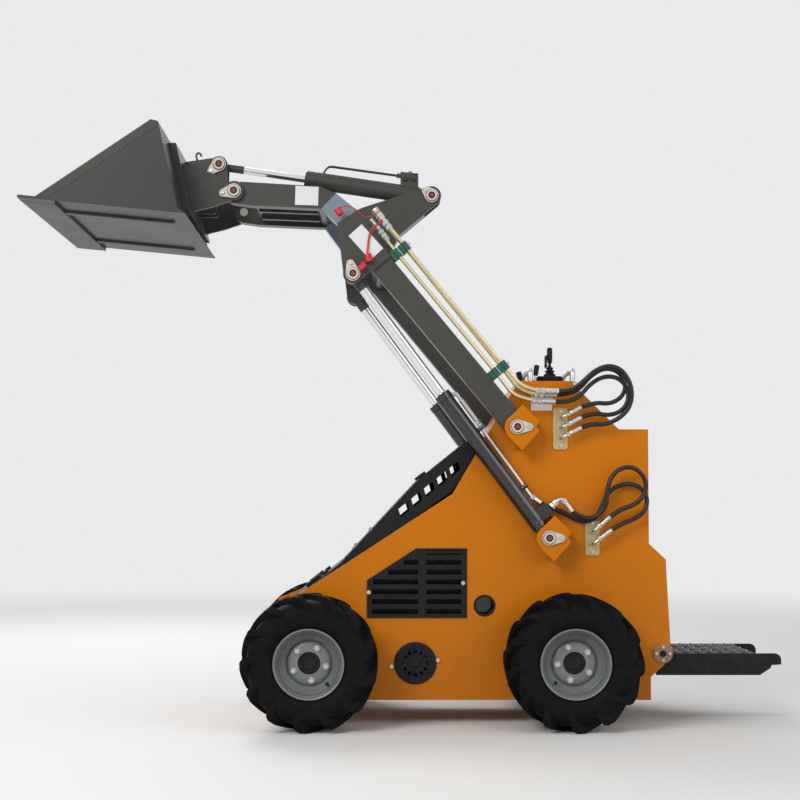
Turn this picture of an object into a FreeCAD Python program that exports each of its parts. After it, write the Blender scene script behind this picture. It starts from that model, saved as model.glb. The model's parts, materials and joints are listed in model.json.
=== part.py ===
import FreeCAD, Part
import math
import os

# Stand-on skid steer loader. Millimetres. Front towards -X, left side towards -Y, +Z up.
# The origin is on the ground, under the middle of the whole machine.

# Wheels and tyres
wheel_front_x = -337.0
wheelbase = 886.0
tyre_diameter = 460.0
tyre_width = 216.0
tyre_outer_y = 520.0
bead_radius = 108.0
rim_flange_radius = 119.0
rim_sheet = 5.0
rim_disc_inset = 62.0
wheel_bolt_circle = 114.3
wheel_bolts = 5
wheel_bolt_head = 10.0
valve_circle = 78.0
hub_radius = 70.0
hub_thickness = 26.0
hub_bore = 37.0
axle_radius = 24.0
axle_clearance = 0.1
motor_radius = 62.0

# Tyre lugs
lugs_per_side = 13
lug_half_width = 14.0
lug_down_turn = -84.8201
# Along a lug, from the sidewall to the middle of the tread. The first two are distances from the
# tyre's middle and radii at the foot and on top, and the last is the sweep round in degrees.
lug_path = [
    (103.0, 172.0, 103.5, 173.0, 0.0),
    (99.0, 196.0, 107.9, 206.0, 2.5),
    (66.0, 210.0, 88.0, 229.5, 9.0),
    (4.0, 212.5, 2.0, 230.0, 26.0),
]
sidewall = [(84.0, 122.0)]

# Chassis
plate_outer_y = 258.0
plate_thickness = 6.0
chassis_bottom = 84.0
console_top_z = 1186.0
panel_thickness = 5.0
floor_thickness = 8.0
rear_panel_x = 790.0
front_panel_x = -420.0
panel_gap = 0.3

# Pins, seen from the side: X and Z
boom_pivot = (368.0, 1024.0)
lift_base_pin = (477.0, 645.0)
platform_pivot = (877.0, 245.0)
hood_pivot = (240.0, 918.0)

# Pins and outlines of the boom's front and the bucket, drawn with the arm's end at this point
# and carried along with it
drawn_arm_end = (-181.3403, 1685.6836)
drawn_rod_pin = (-192.0, 1546.0)
drawn_bucket_pivot = (-605.5, 1844.5)
drawn_tilt_rod_pin = (-676.5, 1977.0)
drawn_tilt_base_pin = (85.0, 1865.0)

# Boom
arm_plane_y = 300.0
arm_width = 56.0
arm_depth = 77.0
arm_angle = 50.3
arm_length = 860.0
bracket_plate = 8.0
bracket_outer_y = 340.0
gooseneck_outer_y = 338.0
gooseneck_plate = 12.0
limb_inner_y = 178.0
limb_width = 54.0
cross_tube_radius = 34.0
anchor_half = 45.0
anchor_plate = 12.0
pin_radius = 15.0
pin_clearance = 0.1
side_play = 1.0

# Cylinders
lift_barrel_radius = 28.5
lift_barrel_length = 617.0
lift_rod_radius = 17.5
tilt_barrel_radius = 31.5
tilt_barrel_length = 460.0
tilt_rod_radius = 12.5
lift_eye_radius = 31.0
lift_eye_half = 22.0
tilt_eye_radius = 26.0
tilt_eye_half = 24.0

# Bucket
bucket_half_width = 520.0
bucket_sheet = 8.0
edge_depth = 126.0

# Platform
platform_half_width = 200.0
platform_end_x = 1300.0
platform_top_z = 240.0
platform_sheet = 5.0
platform_pin_radius = 12.0
platform_pin_depth = 30.0

# Hood
hood_half_width = 246.0
hood_pin_radius = 8.0
hood_holes = 5
hood_hole_start = (-28.0, 716.0)

# Hoses, tubes and hose plates
hose_radius = 7.0
tube_radius = 6.0
ferrule_radius = 9.5
hose_plate_thickness = 5.0

V = FreeCAD.Vector
arm_ux, arm_uz = -math.cos(math.radians(arm_angle)), math.sin(math.radians(arm_angle))


def arm_point(distance, rise):
    """A point beside the arm: so far from the boom pivot along it, and so far above its middle."""
    return (
        boom_pivot[0] + arm_ux * distance + arm_uz * rise,
        boom_pivot[1] + arm_uz * distance - arm_ux * rise,
    )


def carried(points):
    """Points in X and Z drawn for the boom's front, moved along with the arm's end."""
    end = arm_point(arm_length, 0)
    dx, dz = end[0] - drawn_arm_end[0], end[1] - drawn_arm_end[1]
    return [(x + dx, z + dz) for x, z in points]


lift_rod_pin, bucket_pivot = carried([drawn_rod_pin, drawn_bucket_pivot])
tilt_rod_pin, tilt_base_pin = carried([drawn_tilt_rod_pin, drawn_tilt_base_pin])


def box(x0, x1, y0, y1, z0, z1):
    return Part.makeBox(x1 - x0, y1 - y0, z1 - z0, V(x0, y0, z0))


def slab(points, y0, y1):
    """A flat outline in X and Z, extruded from y0 to y1."""
    corners = [V(x, y0, z) for x, z in points]
    face = Part.Face(Part.makePolygon(corners + corners[:1]))
    return face.extrude(V(0, y1 - y0, 0))


def disc(centre, radius, y0, y1):
    return Part.makeCylinder(radius, y1 - y0, V(centre[0], y0, centre[1]), V(0, 1, 0))


def mirrored(shape):
    return shape.mirror(V(0, 0, 0), V(0, 1, 0))


def fuse(shapes):
    whole = shapes[0]
    if len(shapes) > 1:
        whole = whole.multiFuse(shapes[1:])
    return whole.removeSplitter()


def rod(start, end, radius):
    a, b = V(*start), V(*end)
    return Part.makeCylinder(radius, (b - a).Length, a, b - a)


def along(start, end, distance):
    """The point at a distance from start towards end, in X and Z."""
    dx, dz = end[0] - start[0], end[1] - start[1]
    length = math.hypot(dx, dz)
    return (start[0] + dx / length * distance, start[1] + dz / length * distance)


def off(points, centre):
    return [(x + centre[0], z + centre[1]) for x, z in points]


def tube_path(points, radii):
    """Straight runs joined by tangent arcs: one radius for each inner point."""
    edges = []
    start = V(*points[0])
    for before, corner, after, radius in zip(points, points[1:], points[2:], radii):
        a, b, c = V(*before), V(*corner), V(*after)
        back, ahead = (a - b).normalize(), (c - b).normalize()
        half = back.getAngle(ahead) / 2
        reach = radius / math.tan(half)
        first, last = b + back * reach, b + ahead * reach
        centre = b + (back + ahead).normalize() * (radius / math.sin(half))
        middle = centre + (b - centre).normalize() * radius
        if (first - start).Length > 0.01:
            edges.append(Part.LineSegment(start, first).toShape())
        edges.append(Part.Arc(first, middle, last).toShape())
        start = last
    edges.append(Part.LineSegment(start, V(*points[-1])).toShape())
    return Part.Wire(edges)


def arc_radii(points):
    """The largest arc that the runs beside each inner point allow."""
    radii = []
    for before, corner, after in zip(points, points[1:], points[2:]):
        a, b, c = V(*before), V(*corner), V(*after)
        turn = math.pi - (a - b).getAngle(c - b)
        shorter = min((a - b).Length, (c - b).Length)
        radii.append(0.45 * shorter / math.tan(turn / 2))
    return radii


def swept(points, radius, radii=None):
    path = tube_path(points, radii or arc_radii(points))
    first = V(*points[0])
    profile = Part.Wire([Part.makeCircle(radius, first, V(*points[1]) - first)])
    return path.makePipeShell([profile], True, False), path.Length


def save(name, shape):
    os.makedirs("parts", exist_ok=True)
    shape.exportStep("parts/" + name + ".step")
    solids = shape.Solids
    print(name, len(solids), round(shape.Volume / 1000.0), "cm3", shape.isValid())


def spin_y(profile, centre):
    """A closed outline of (radius, y), turned about the line along Y through centre."""
    corners = [V(centre[0] + r, y, centre[1]) for r, y in profile]
    face = Part.Face(Part.makePolygon(corners + corners[:1]))
    return face.revolve(V(centre[0], 0, centre[1]), V(0, 1, 0), 360)


# Each wheel: name, X, side, turn of the first bolt, turn of the valve
wheel_places = [
    ("front_left", wheel_front_x, -1, 62, -48),
    ("front_right", wheel_front_x, 1, 62, -48),
    ("rear_left", wheel_front_x + wheelbase, -1, 40, 225),
    ("rear_right", wheel_front_x + wheelbase, 1, 40, 225),
]
wheel_z = tyre_diameter / 2
tyre_inner_y = tyre_outer_y - tyre_width
rim_disc_y = tyre_outer_y - rim_disc_inset


def tyre_side(side, start):
    """The skin of one half of a tyre as triangles, with its rings of points at the middle and the bead."""
    pitch = 360 / lugs_per_side
    middle = -(tyre_outer_y + tyre_inner_y) / 2
    half = math.degrees(lug_half_width / (tyre_diameter / 2))
    bead = bead_radius / math.cos(math.radians(pitch / 5))
    skin, tread_ring, bead_ring = [], [], []

    def at(out, radius, angle):
        turn = math.radians(angle)
        return V(radius * math.cos(turn), middle + side * out, radius * math.sin(turn))

    def strip(first, second):
        for p, q, r, s in zip(first, first[1:], second, second[1:]):
            skin.append((p, q, s))
            skin.append((p, s, r))

    for n in range(lugs_per_side):
        base = start + pitch * n
        steps = (base - half, base + half, base + pitch / 2, base + pitch - half)
        rows = [[at(out, radius, angle) for angle in steps] for out, radius in [(84.0, bead)] + sidewall]
        rows += [[at(row[0], row[1], angle + row[4]) for angle in steps] for row in lug_path]
        tops = [[at(row[2], row[3], angle + row[4]) for angle in steps[:2]] for row in lug_path]
        for first, second in zip(rows, rows[1:]):
            strip(first[1:], second[1:])
        first_foot = len(sidewall) + 1
        for first, second in zip(rows[:first_foot], rows[1 : first_foot + 1]):
            strip(first[:2], second[:2])
        feet = rows[first_foot:]
        strip(feet[0][:2], tops[0])
        for first, second in zip(tops, tops[1:]):
            strip(first, second)
        strip([row[0] for row in feet], [row[0] for row in tops])
        strip([row[1] for row in tops], [row[1] for row in feet])
        strip(tops[-1], feet[-1][:2])
        tread_ring += feet[-1][:3]
        bead_ring += rows[0][:3]
    return skin, tread_ring, bead_ring


def joined(first, second):
    """Triangles between two closed rings of points about the same axis."""
    turn = lambda point: math.atan2(point.z, point.x)
    a, b = sorted(first, key=turn), sorted(second, key=turn)
    made = []
    i = j = 0
    while i < len(a) or j < len(b):
        next_a = turn(a[i]) if i < len(a) else math.inf
        next_b = turn(b[j]) if j < len(b) else math.inf
        p, q = a[i - 1 if i else -1], b[j - 1 if j else -1]
        if next_a <= next_b:
            made.append((p, a[i], q))
            i += 1
        else:
            made.append((p, b[j], q))
            j += 1
    return made


def tyre():
    """A left tyre about the line along Y through the origin. Its lugs are part of its skin."""
    outer, outer_tread, outer_bead = tyre_side(-1, lug_down_turn)
    inner, inner_tread, inner_bead = tyre_side(1, lug_down_turn + 180 / lugs_per_side)
    skin = outer + inner + joined(outer_tread, inner_tread) + joined(outer_bead, inner_bead)
    faces = [Part.Face(Part.makePolygon([p, q, r, p])) for p, q, r in skin]
    shell = Part.makeShell(faces)
    shell.sewShape()
    solid = Part.Solid(shell)
    if solid.Volume < 0:
        solid.reverse()
    return solid.removeSplitter()


def rim(x, first_bolt, valve_turn):
    y0, y1 = -tyre_outer_y + 20, -tyre_inner_y - 20
    outside = bead_radius - panel_gap
    inside = outside - rim_sheet
    well = outside - 18
    shell = spin_y(
        [
            (rim_flange_radius, y0 - 6),
            (rim_flange_radius, y0 + 3.7),
            (outside, y0 + 3.7),
            (outside, y0 + 34),
            (well, y0 + 46),
            (well, y1 - 46),
            (outside, y1 - 34),
            (outside, y1 - 3.7),
            (rim_flange_radius, y1 - 3.7),
            (rim_flange_radius, y1 + 6),
            (inside, y1 + 6),
            (inside, y1 - 36),
            (well - rim_sheet, y1 - 48),
            (well - rim_sheet, y0 + 48),
            (inside, y0 + 36),
            (inside, y0 - 6),
        ],
        (x, wheel_z),
    )
    dish_y = -rim_disc_y
    dish = spin_y(
        [
            (hub_bore, dish_y),
            (hub_radius + 6, dish_y),
            (well - 1, dish_y + 30),
            (well - 1, dish_y + 36),
            (hub_radius + 6, dish_y + 7),
            (hub_bore, dish_y + 7),
        ],
        (x, wheel_z),
    )
    hub = spin_y(
        [
            (axle_radius + axle_clearance, dish_y + 7),
            (hub_radius, dish_y + 7),
            (hub_radius, dish_y + 7 + hub_thickness),
            (axle_radius + axle_clearance, dish_y + 7 + hub_thickness),
        ],
        (x, wheel_z),
    )
    bolts = []
    for n in range(wheel_bolts):
        turn = math.radians(first_bolt + 360 / wheel_bolts * n)
        at = (
            x + wheel_bolt_circle / 2 * math.cos(turn),
            wheel_z + wheel_bolt_circle / 2 * math.sin(turn),
        )
        bolts.append(disc(at, wheel_bolt_head, dish_y - 11, dish_y + 1))
    turn = math.radians(valve_turn)
    at = (x + valve_circle * math.cos(turn), wheel_z + valve_circle * math.sin(turn))
    bolts.append(disc(at, 5.0, dish_y - 28, dish_y + 32))
    cap = disc((x, wheel_z), hub_bore - 0.5, dish_y + 7, dish_y + 12)
    return fuse([shell, dish, hub, cap] + bolts)


def axles():
    """One hub motor with its shaft at each wheel."""
    made = []
    for name, x, side, first_bolt, valve_turn in wheel_places:
        motor = disc((x, wheel_z), motor_radius, -tyre_inner_y - 30, -plate_outer_y)
        shaft = disc((x, wheel_z), axle_radius, -rim_disc_y + 14, -tyre_inner_y - 30)
        one = fuse([motor, shaft])
        made.append(one if side < 0 else mirrored(one))
    return Part.makeCompound(made)


side_outline = [
    (836, chassis_bottom),
    (836, 164),
    (881, 204),
    (904, 267),
    (887, 570),
    (829, 624),
    (826, 1019),
    (725, 1019),
    (565, 1178),
    (565, console_top_z),
    (380, console_top_z),
    (150, 796),
    (-390, 444),
    (-484, 406),
    (-450, 350),
    (-450, chassis_bottom),
]
vent_outline = [(-145, 368), (200, 368), (200, 608), (25, 608), (-145, 498)]
vent_opening = [(-133, 380), (188, 380), (188, 596), (29, 596), (-133, 491)]
round_vent = (22.0, 212.0)
round_vent_radius = 73.0
side_hole = (261.0, 410.0)
side_hole_radius = 31.0


def side_plate():
    outer, inner = -plate_outer_y, -plate_outer_y + plate_thickness
    plate = slab(side_outline, outer, inner)
    plate = plate.cut(slab(vent_opening, outer - 1, inner + 1))
    plate = plate.cut(disc(platform_pivot, platform_pin_radius + pin_clearance, outer - 1, inner + 1))
    plate = plate.cut(disc(round_vent, round_vent_radius - 8, outer - 1, inner + 1))
    plate = plate.cut(disc(side_hole, side_hole_radius, outer - 1, inner + 1))
    stub = disc(hood_pivot, hood_pin_radius, inner - 1, -hood_half_width + 12)
    return fuse([plate, stub])


def side_vent():
    """The slatted panel that fills the opening in a side plate."""
    outer = -plate_outer_y - 4
    frame = slab(vent_outline, outer, -plate_outer_y)
    x0, x1 = vent_outline[0][0], vent_outline[1][0]
    middle = 46.0
    pitch = 34.0
    for n in range(7):
        z = 382 + pitch * n
        left = max(x0 + 18, x0 + 18 + (z + 16 - 498) * 1.55)
        if left < middle - 30:
            frame = frame.cut(box(left, middle - 14, outer - 1, -plate_outer_y + 1, z, z + 16))
        if n < 7:
            frame = frame.cut(box(middle + 14, x1 - 20, outer - 1, -plate_outer_y + 1, z, z + 16))
    return frame


def round_vent_cover():
    outer = -plate_outer_y - 4
    cover = disc(round_vent, round_vent_radius, outer, -plate_outer_y)
    for n in range(12):
        turn = math.radians(30 * n)
        at = (round_vent[0] + 40 * math.cos(turn), round_vent[1] + 40 * math.sin(turn))
        cover = cover.cut(disc(at, 7, outer - 1, -plate_outer_y + 1))
    return cover.fuse(disc(round_vent, 14, outer - 4, outer + 1))


inner_y = plate_outer_y - plate_thickness


def floor_pan():
    """The floor with the front panel, which leans back at its top."""
    floor = box(front_panel_x, 830, -inner_y, inner_y, chassis_bottom, chassis_bottom + floor_thickness)
    x, t = front_panel_x, panel_thickness
    front = [(x, 90), (x, 380), (x + 32, 438), (x + 36, 435), (x + t, 378), (x + t, 90)]
    return fuse([floor, slab(front, -inner_y, inner_y)])


def rear_panel():
    low = chassis_bottom + floor_thickness
    return box(rear_panel_x, rear_panel_x + panel_thickness, -inner_y, inner_y, low, 1014)


console_line = [(795, 1019), (725, 1019), (565, 1178), (565, console_top_z), (380, console_top_z), (268, 997)]


def console():
    """The cover over the rear: a bent sheet from the rear panel over the control panel to the front."""
    inside = [
        (791, 1014),
        (722.9, 1014),
        (560, 1175.9),
        (560, console_top_z - 5),
        (383, console_top_z - 5),
        (274, 997),
    ]
    return fuse([slab(console_line + inside[::-1], -inner_y, inner_y), rear_panel()])


def engine():
    return box(-180, 300, -190, 190, chassis_bottom + floor_thickness + 40, 560).fuse(
        box(-120, 260, -120, 120, chassis_bottom + floor_thickness, chassis_bottom + floor_thickness + 40)
    )


bracket_outline = [(18, 76), (76, 20), (63, 2), (75, -14), (16, -80), (-32, -30), (-32, 28)]


def bracket(pin, tilt=0.0):
    """A folded box that holds a pin outside the side plate, open to the front."""
    outer = -bracket_outer_y
    plate = slab(off(bracket_outline, pin), outer, outer + bracket_plate)
    plate = plate.fuse(disc(pin, 43, outer, outer + bracket_plate))
    upper = off([(18, 76), (76, 20), (70.3, 14.3), (12.3, 70.3)], pin)
    lower = off([(75, -14), (16, -80), (10.1, -74.7), (69.1, -8.7)], pin)
    walls = [slab(w, outer, -plate_outer_y) for w in (upper, lower)]
    return fuse([plate] + walls).cut(disc(pin, pin_radius + pin_clearance, outer - 1, 0))


def flag(pin, towards, outer_y, inner_end, bore=False):
    """A pin with the teardrop plate that locks it, from outer_y inwards to inner_end."""
    tip = (pin[0] + towards[0], pin[1] + towards[1])
    length = math.hypot(*towards)
    nx, nz = -towards[1] / length, towards[0] / length
    big, small = 22.0, 9.0
    web = [
        (pin[0] + nx * big, pin[1] + nz * big),
        (tip[0] + nx * small, tip[1] + nz * small),
        (tip[0] - nx * small, tip[1] - nz * small),
        (pin[0] - nx * big, pin[1] - nz * big),
    ]
    y0 = outer_y - 6
    solids = [disc(pin, big, y0, outer_y), disc(tip, small, y0, outer_y), slab(web, y0, outer_y)]
    solids.append(disc(pin, pin_radius, y0 - 6, inner_end))
    solids.append(disc(tip, 5, y0 - 5, y0 + 1))
    return fuse(solids)


def lift_arm():
    half = arm_depth / 2
    y0, y1 = -arm_plane_y - arm_width / 2, -arm_plane_y + arm_width / 2
    tube = slab([arm_point(0, -half), arm_point(0, half), arm_point(arm_length, half), arm_point(arm_length, -half)], y0, y1)
    tube = tube.fuse(disc(boom_pivot, half, y0, y1))
    return tube.cut(disc(boom_pivot, pin_radius + pin_clearance, y0 - 1, y1 + 1)).removeSplitter()


neck_low, neck_top, ear_right, ear_low = carried([(-246, 1717), (-177, 1763), (-158, 1530), (-172, 1519)])


def gooseneck():
    outer = -gooseneck_outer_y
    ear_left = (lift_rod_pin[0] - 33.5, lift_rod_pin[1] + 6)
    outline = [neck_low, neck_top, arm_point(arm_length - 136, 38.5), ear_right, ear_low, ear_left]
    plate = slab(outline, outer, outer + gooseneck_plate - 2)
    plate = plate.fuse(disc(lift_rod_pin, 34, outer, outer + gooseneck_plate - 2))
    return plate.cut(disc(lift_rod_pin, pin_radius + pin_clearance, outer - 1, 0))


def flare():
    """The box that carries each arm's top inwards to the front limb."""
    inner, outer = -limb_inner_y, -limb_inner_y - limb_width
    top1, low1 = carried([(-253, 1840), (-305, 1786)])
    top2, low2 = neck_top, neck_low
    y2, y3 = -gooseneck_outer_y + gooseneck_plate - 2, -arm_plane_y + arm_width / 2
    rings = []
    for (tx, tz), (lx, lz), ya, yb in ((top1, low1, outer, inner), (top2, low2, y2, y3)):
        ring = [V(tx, ya, tz), V(lx, ya, lz), V(lx, yb, lz), V(tx, yb, tz)]
        rings.append(Part.makePolygon(ring + ring[:1]))
    neck = slab([neck_low, neck_top, arm_point(arm_length, 38.5), arm_point(arm_length, -38.5)], y2, y3)
    return fuse([Part.makeLoft(rings, True, True), neck])


limb_outline = carried(
    [(-585, 1880), (-352, 1866), (-312, 1865), (-253, 1840), (-305, 1786), (-548, 1797), (-612, 1806)]
)


def limb():
    inner, outer = -limb_inner_y, -limb_inner_y - limb_width
    bar = slab(limb_outline, outer, inner).fuse(disc(bucket_pivot, 38, outer, inner))
    return bar.cut(disc(bucket_pivot, pin_radius + pin_clearance, outer - 1, inner + 1))


cross_tube_place = arm_point(arm_length - 120, 12)
front_tube_place = carried([(-300.0, 1822.0)])[0]
front_tube_radius = 26.0


def anchor():
    outline = [
        (-312, 1818),
        (-305, 1846),
        (-240, 1812),
        (-187, 1812),
        (-160, 1823),
        (-89, 1846),
        (-7, 1874),
        (70, 1898),
        (112, 1843),
        (-30, 1725),
        (-62, 1660),
        (-70, 1590),
        (-130, 1590),
        (-150, 1690),
        (-215, 1760),
        (-300, 1798),
    ]
    solids = []
    for y0 in (-anchor_half, anchor_half - anchor_plate):
        plate = slab(carried(outline), y0, y0 + anchor_plate).fuse(disc(tilt_base_pin, 34, y0, y0 + anchor_plate))
        solids.append(plate)
    web = carried([(60, 1800), (-30, 1725), (-62, 1660), (-68, 1664), (-36, 1730), (56, 1805)])
    back = slab(web, -anchor_half + anchor_plate, anchor_half - anchor_plate)
    return fuse(solids + [back]).cut(disc(tilt_base_pin, pin_radius + pin_clearance, -100, 100))


def cross_members():
    tube = disc(cross_tube_place, cross_tube_radius, -arm_plane_y + arm_width / 2, arm_plane_y - arm_width / 2)
    front = disc(front_tube_place, front_tube_radius, -limb_inner_y, limb_inner_y)
    web = slab(carried([(-540, 1826), (-305, 1818), (-305, 1810), (-540, 1818)]), -limb_inner_y, limb_inner_y)
    for y in (-90, 66):
        web = web.fuse(slab(carried([(-530, 1822), (-320, 1814), (-320, 1792), (-530, 1800)]), y, y + 24))
    return fuse([tube, front, anchor()] + [web])


def barrel_point(distance, rise):
    """A point beside the lift cylinder: so far from its base pin, and so far above its middle."""
    dx, dz = lift_rod_pin[0] - lift_base_pin[0], lift_rod_pin[1] - lift_base_pin[1]
    length = math.hypot(dx, dz)
    ux, uz = dx / length, dz / length
    return (lift_base_pin[0] + ux * distance + uz * rise, -arm_plane_y, lift_base_pin[1] + uz * distance - ux * rise)


def lift_ports():
    """The elbow at the base and the rigid tube from the rod end down the barrel's upper side."""
    low = barrel_point(81, lift_barrel_radius - 1)
    bend = barrel_point(81, 68)
    knee = (518.6, -arm_plane_y, 761.2)
    end = (551.0, -arm_plane_y, 741.0)
    elbow = swept([low, bend, knee, end], 7.0, [14.0, 16.0])[0]
    nut = rod(low, barrel_point(81, 46), 12)
    top = [barrel_point(590, lift_barrel_radius - 1), barrel_point(590, 42), (417.6, -297.1, 788.7), (438.2, -290, 774.6)]
    line = swept(top, tube_radius, [9.0, 40.0])[0]
    sleeve = rod(barrel_point(560, 42), barrel_point(455, 42), ferrule_radius)
    clamp = rod(barrel_point(440, lift_barrel_radius - 2), barrel_point(440, 50), 9)
    low_clamp = rod(barrel_point(190, lift_barrel_radius - 2), barrel_point(190, 50), 9)
    return [elbow, nut, line, sleeve, clamp, low_clamp]


def lift_barrel():
    start = along(lift_base_pin, lift_rod_pin, 42)
    end = along(lift_base_pin, lift_rod_pin, lift_barrel_length)
    y = -arm_plane_y
    tube = rod((start[0], y, start[1]), (end[0], y, end[1]), lift_barrel_radius)
    eye = disc(lift_base_pin, lift_eye_radius, y - lift_eye_half, y + lift_eye_half)
    neck_end = along(lift_base_pin, lift_rod_pin, 60)
    neck = rod((lift_base_pin[0], y, lift_base_pin[1]), (neck_end[0], y, neck_end[1]), lift_eye_half - 2)
    bore_start = along(lift_base_pin, lift_rod_pin, 80)
    bore_end = along(lift_base_pin, lift_rod_pin, lift_barrel_length + 5)
    gland_start = along(lift_base_pin, lift_rod_pin, lift_barrel_length - 26)
    gland = rod((gland_start[0], y, gland_start[1]), (end[0], y, end[1]), lift_barrel_radius + 1.5)
    whole = fuse([tube, neck, eye, gland] + lift_ports())
    whole = whole.cut(rod((bore_start[0], y, bore_start[1]), (bore_end[0], y, bore_end[1]), lift_rod_radius + pin_clearance))
    return whole.cut(disc(lift_base_pin, pin_radius + pin_clearance, y - 60, y + 60))


def lift_rod():
    y = -arm_plane_y
    start = along(lift_base_pin, lift_rod_pin, lift_barrel_length - 90)
    end = along(lift_rod_pin, lift_base_pin, 40)
    bar = rod((start[0], y, start[1]), (end[0], y, end[1]), lift_rod_radius)
    shoulder = along(lift_rod_pin, lift_base_pin, 60)
    neck = rod((lift_rod_pin[0], y, lift_rod_pin[1]), (shoulder[0], y, shoulder[1]), lift_rod_radius + 2)
    eye = disc(lift_rod_pin, lift_eye_radius, y - lift_eye_half, y + lift_eye_half)
    cap = disc(lift_rod_pin, pin_radius, y + lift_eye_half - 1, y + lift_eye_half + 2)
    return fuse([bar, neck, eye, cap])


tilt_port_block = carried([(-26, 1900), (-27, 1956), (38, 1950), (38, 1900)])
tilt_tube = carried([(-307, 1920), (-306, 1954), (-286, 1979), (-30, 1944), (-10, 1944)])


def tilt_barrel():
    start = along(tilt_base_pin, tilt_rod_pin, 45)
    end = along(tilt_base_pin, tilt_rod_pin, tilt_barrel_length)
    tube = rod((start[0], 0, start[1]), (end[0], 0, end[1]), tilt_barrel_radius)
    eye = disc(tilt_base_pin, tilt_eye_radius, -tilt_eye_half, tilt_eye_half)
    neck_end = along(tilt_base_pin, tilt_rod_pin, 60)
    neck = rod((tilt_base_pin[0], 0, tilt_base_pin[1]), (neck_end[0], 0, neck_end[1]), tilt_eye_half - 2)
    bore_start = along(tilt_base_pin, tilt_rod_pin, 80)
    bore_end = along(tilt_base_pin, tilt_rod_pin, tilt_barrel_length + 5)
    block = slab(tilt_port_block, -20, 20)
    line = swept([(x, 0, z) for x, z in tilt_tube], 4.5, [10.0] * (len(tilt_tube) - 2))[0]
    whole = fuse([tube, neck, eye, block, line])
    whole = whole.cut(rod((bore_start[0], 0, bore_start[1]), (bore_end[0], 0, bore_end[1]), tilt_rod_radius + pin_clearance))
    return whole.cut(disc(tilt_base_pin, pin_radius + pin_clearance, -60, 60))


def tilt_rod():
    start = along(tilt_base_pin, tilt_rod_pin, tilt_barrel_length - 120)
    end = along(tilt_rod_pin, tilt_base_pin, 60)
    bar = rod((start[0], 0, start[1]), (end[0], 0, end[1]), tilt_rod_radius)
    shoulder = along(tilt_rod_pin, tilt_base_pin, 87)
    neck = rod((tilt_rod_pin[0], 0, tilt_rod_pin[1]), (shoulder[0], 0, shoulder[1]), tilt_rod_radius + 1)
    eye = disc(tilt_rod_pin, tilt_eye_radius, -tilt_eye_half, tilt_eye_half)
    return fuse([bar, neck, eye])


# The bucket's section, from the tip of its floor round to the lip and back along the inside
bucket_section = carried(
    [
        (-1298, 1775),
        (-743, 1721),
        (-769, 1742),
        (-833, 2026),
        (-859, 2032),
        (-857, 2024),
        (-839, 2020),
        (-777, 1746),
        (-780, 1733),
        (-1297, 1783),
    ]
)
floor_tip, floor_heel = bucket_section[0], bucket_section[1]


def bucket_shell():
    sheet = slab(bucket_section, -bucket_half_width, bucket_half_width)
    outline = carried([(-1240, 1776), (-775, 1731), (-835, 2024), (-859, 2030)])
    side = slab(outline, -bucket_half_width, -bucket_half_width + bucket_sheet)
    return fuse([sheet, side, mirrored(side)])


def cutting_edge():
    ux, uz = (floor_heel[0] - floor_tip[0]) / 557.6, (floor_heel[1] - floor_tip[1]) / 557.6
    a = floor_tip
    b = (a[0] + ux * edge_depth, a[1] + uz * edge_depth)
    c = (b[0] + uz * 12, b[1] - ux * 12)
    d = (a[0] + ux * 14 + uz * 12, a[1] + uz * 14 - ux * 12)
    made = [slab([a, b, c, d], -bucket_half_width, bucket_half_width)]
    for y in (-330, 290):
        p = (b[0] + ux * 0.5, b[1] + uz * 0.5)
        q = (b[0] + ux * 290, b[1] + uz * 290)
        low = [(q[0] + uz * 9, q[1] - ux * 9), (p[0] + uz * 9, p[1] - ux * 9)]
        made.append(slab([p, q] + low, y, y + 40))
    return Part.makeCompound(made)


def attachment():
    plate = slab(carried([(-770.3, 1748), (-744, 1748), (-800, 2000), (-827.1, 2000)]), -300, 300)
    made = [plate]
    for y0 in (-250, 236):
        outline = [(-757, 1770), (-680, 1789), (-612, 1812), (-580, 1870), (-631, 1877), (-677, 1904), (-793, 1940)]
        ear = slab(carried(outline), y0, y0 + 14)
        ear = ear.fuse(disc(bucket_pivot, 33, y0, y0 + 14)).cut(disc(bucket_pivot, pin_radius + pin_clearance, y0 - 1, y0 + 15))
        made.append(ear)
    for y0 in (-45, 33):
        outline = [(-762, 1800), (-690, 1800), (-648, 1900), (-647, 1977), (-700, 2000), (-802, 1985)]
        ear = slab(carried(outline), y0, y0 + 12)
        ear = ear.fuse(disc(tilt_rod_pin, 30, y0, y0 + 12))
        made.append(ear.cut(disc(tilt_rod_pin, pin_radius + pin_clearance, y0 - 1, y0 + 13)))
    return fuse(made)


# The three tubes on the left arm, from the couplers to the hose ends: X, Y, Z
(upper_x, upper_z), (lower_x, lower_z) = carried([(-103.3, 1750.5), (-95.5, 1684.0)])
arm_tube_routes = [
    [(upper_x, -312, upper_z), (333.9, -312, 1224.0), (380, -312, 1169), (435, -312, 1149.4), (512, -312, 1147)],
    [(lower_x, -312, lower_z), (310.6, -312, 1194.9), (354, -312, 1136), (421, -312, 1115), (500, -312, 1111)],
    [(upper_x, -288, upper_z), (333.9, -288, 1224.0), (380, -288, 1172), (435, -288, 1162), (512, -288, 1162)],
]
tube_clamp_distances = (arm_length - 141, 190.0)


def arm_tubes():
    made = []
    for route in arm_tube_routes:
        line = swept(route, tube_radius, [60.0, 45.0, 60.0])[0]
        a, b = V(*route[-2]), V(*route[-1])
        made.append(fuse([line, rod(b - (b - a).normalize() * 40, b, ferrule_radius)]))
    return Part.makeCompound(made)


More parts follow.
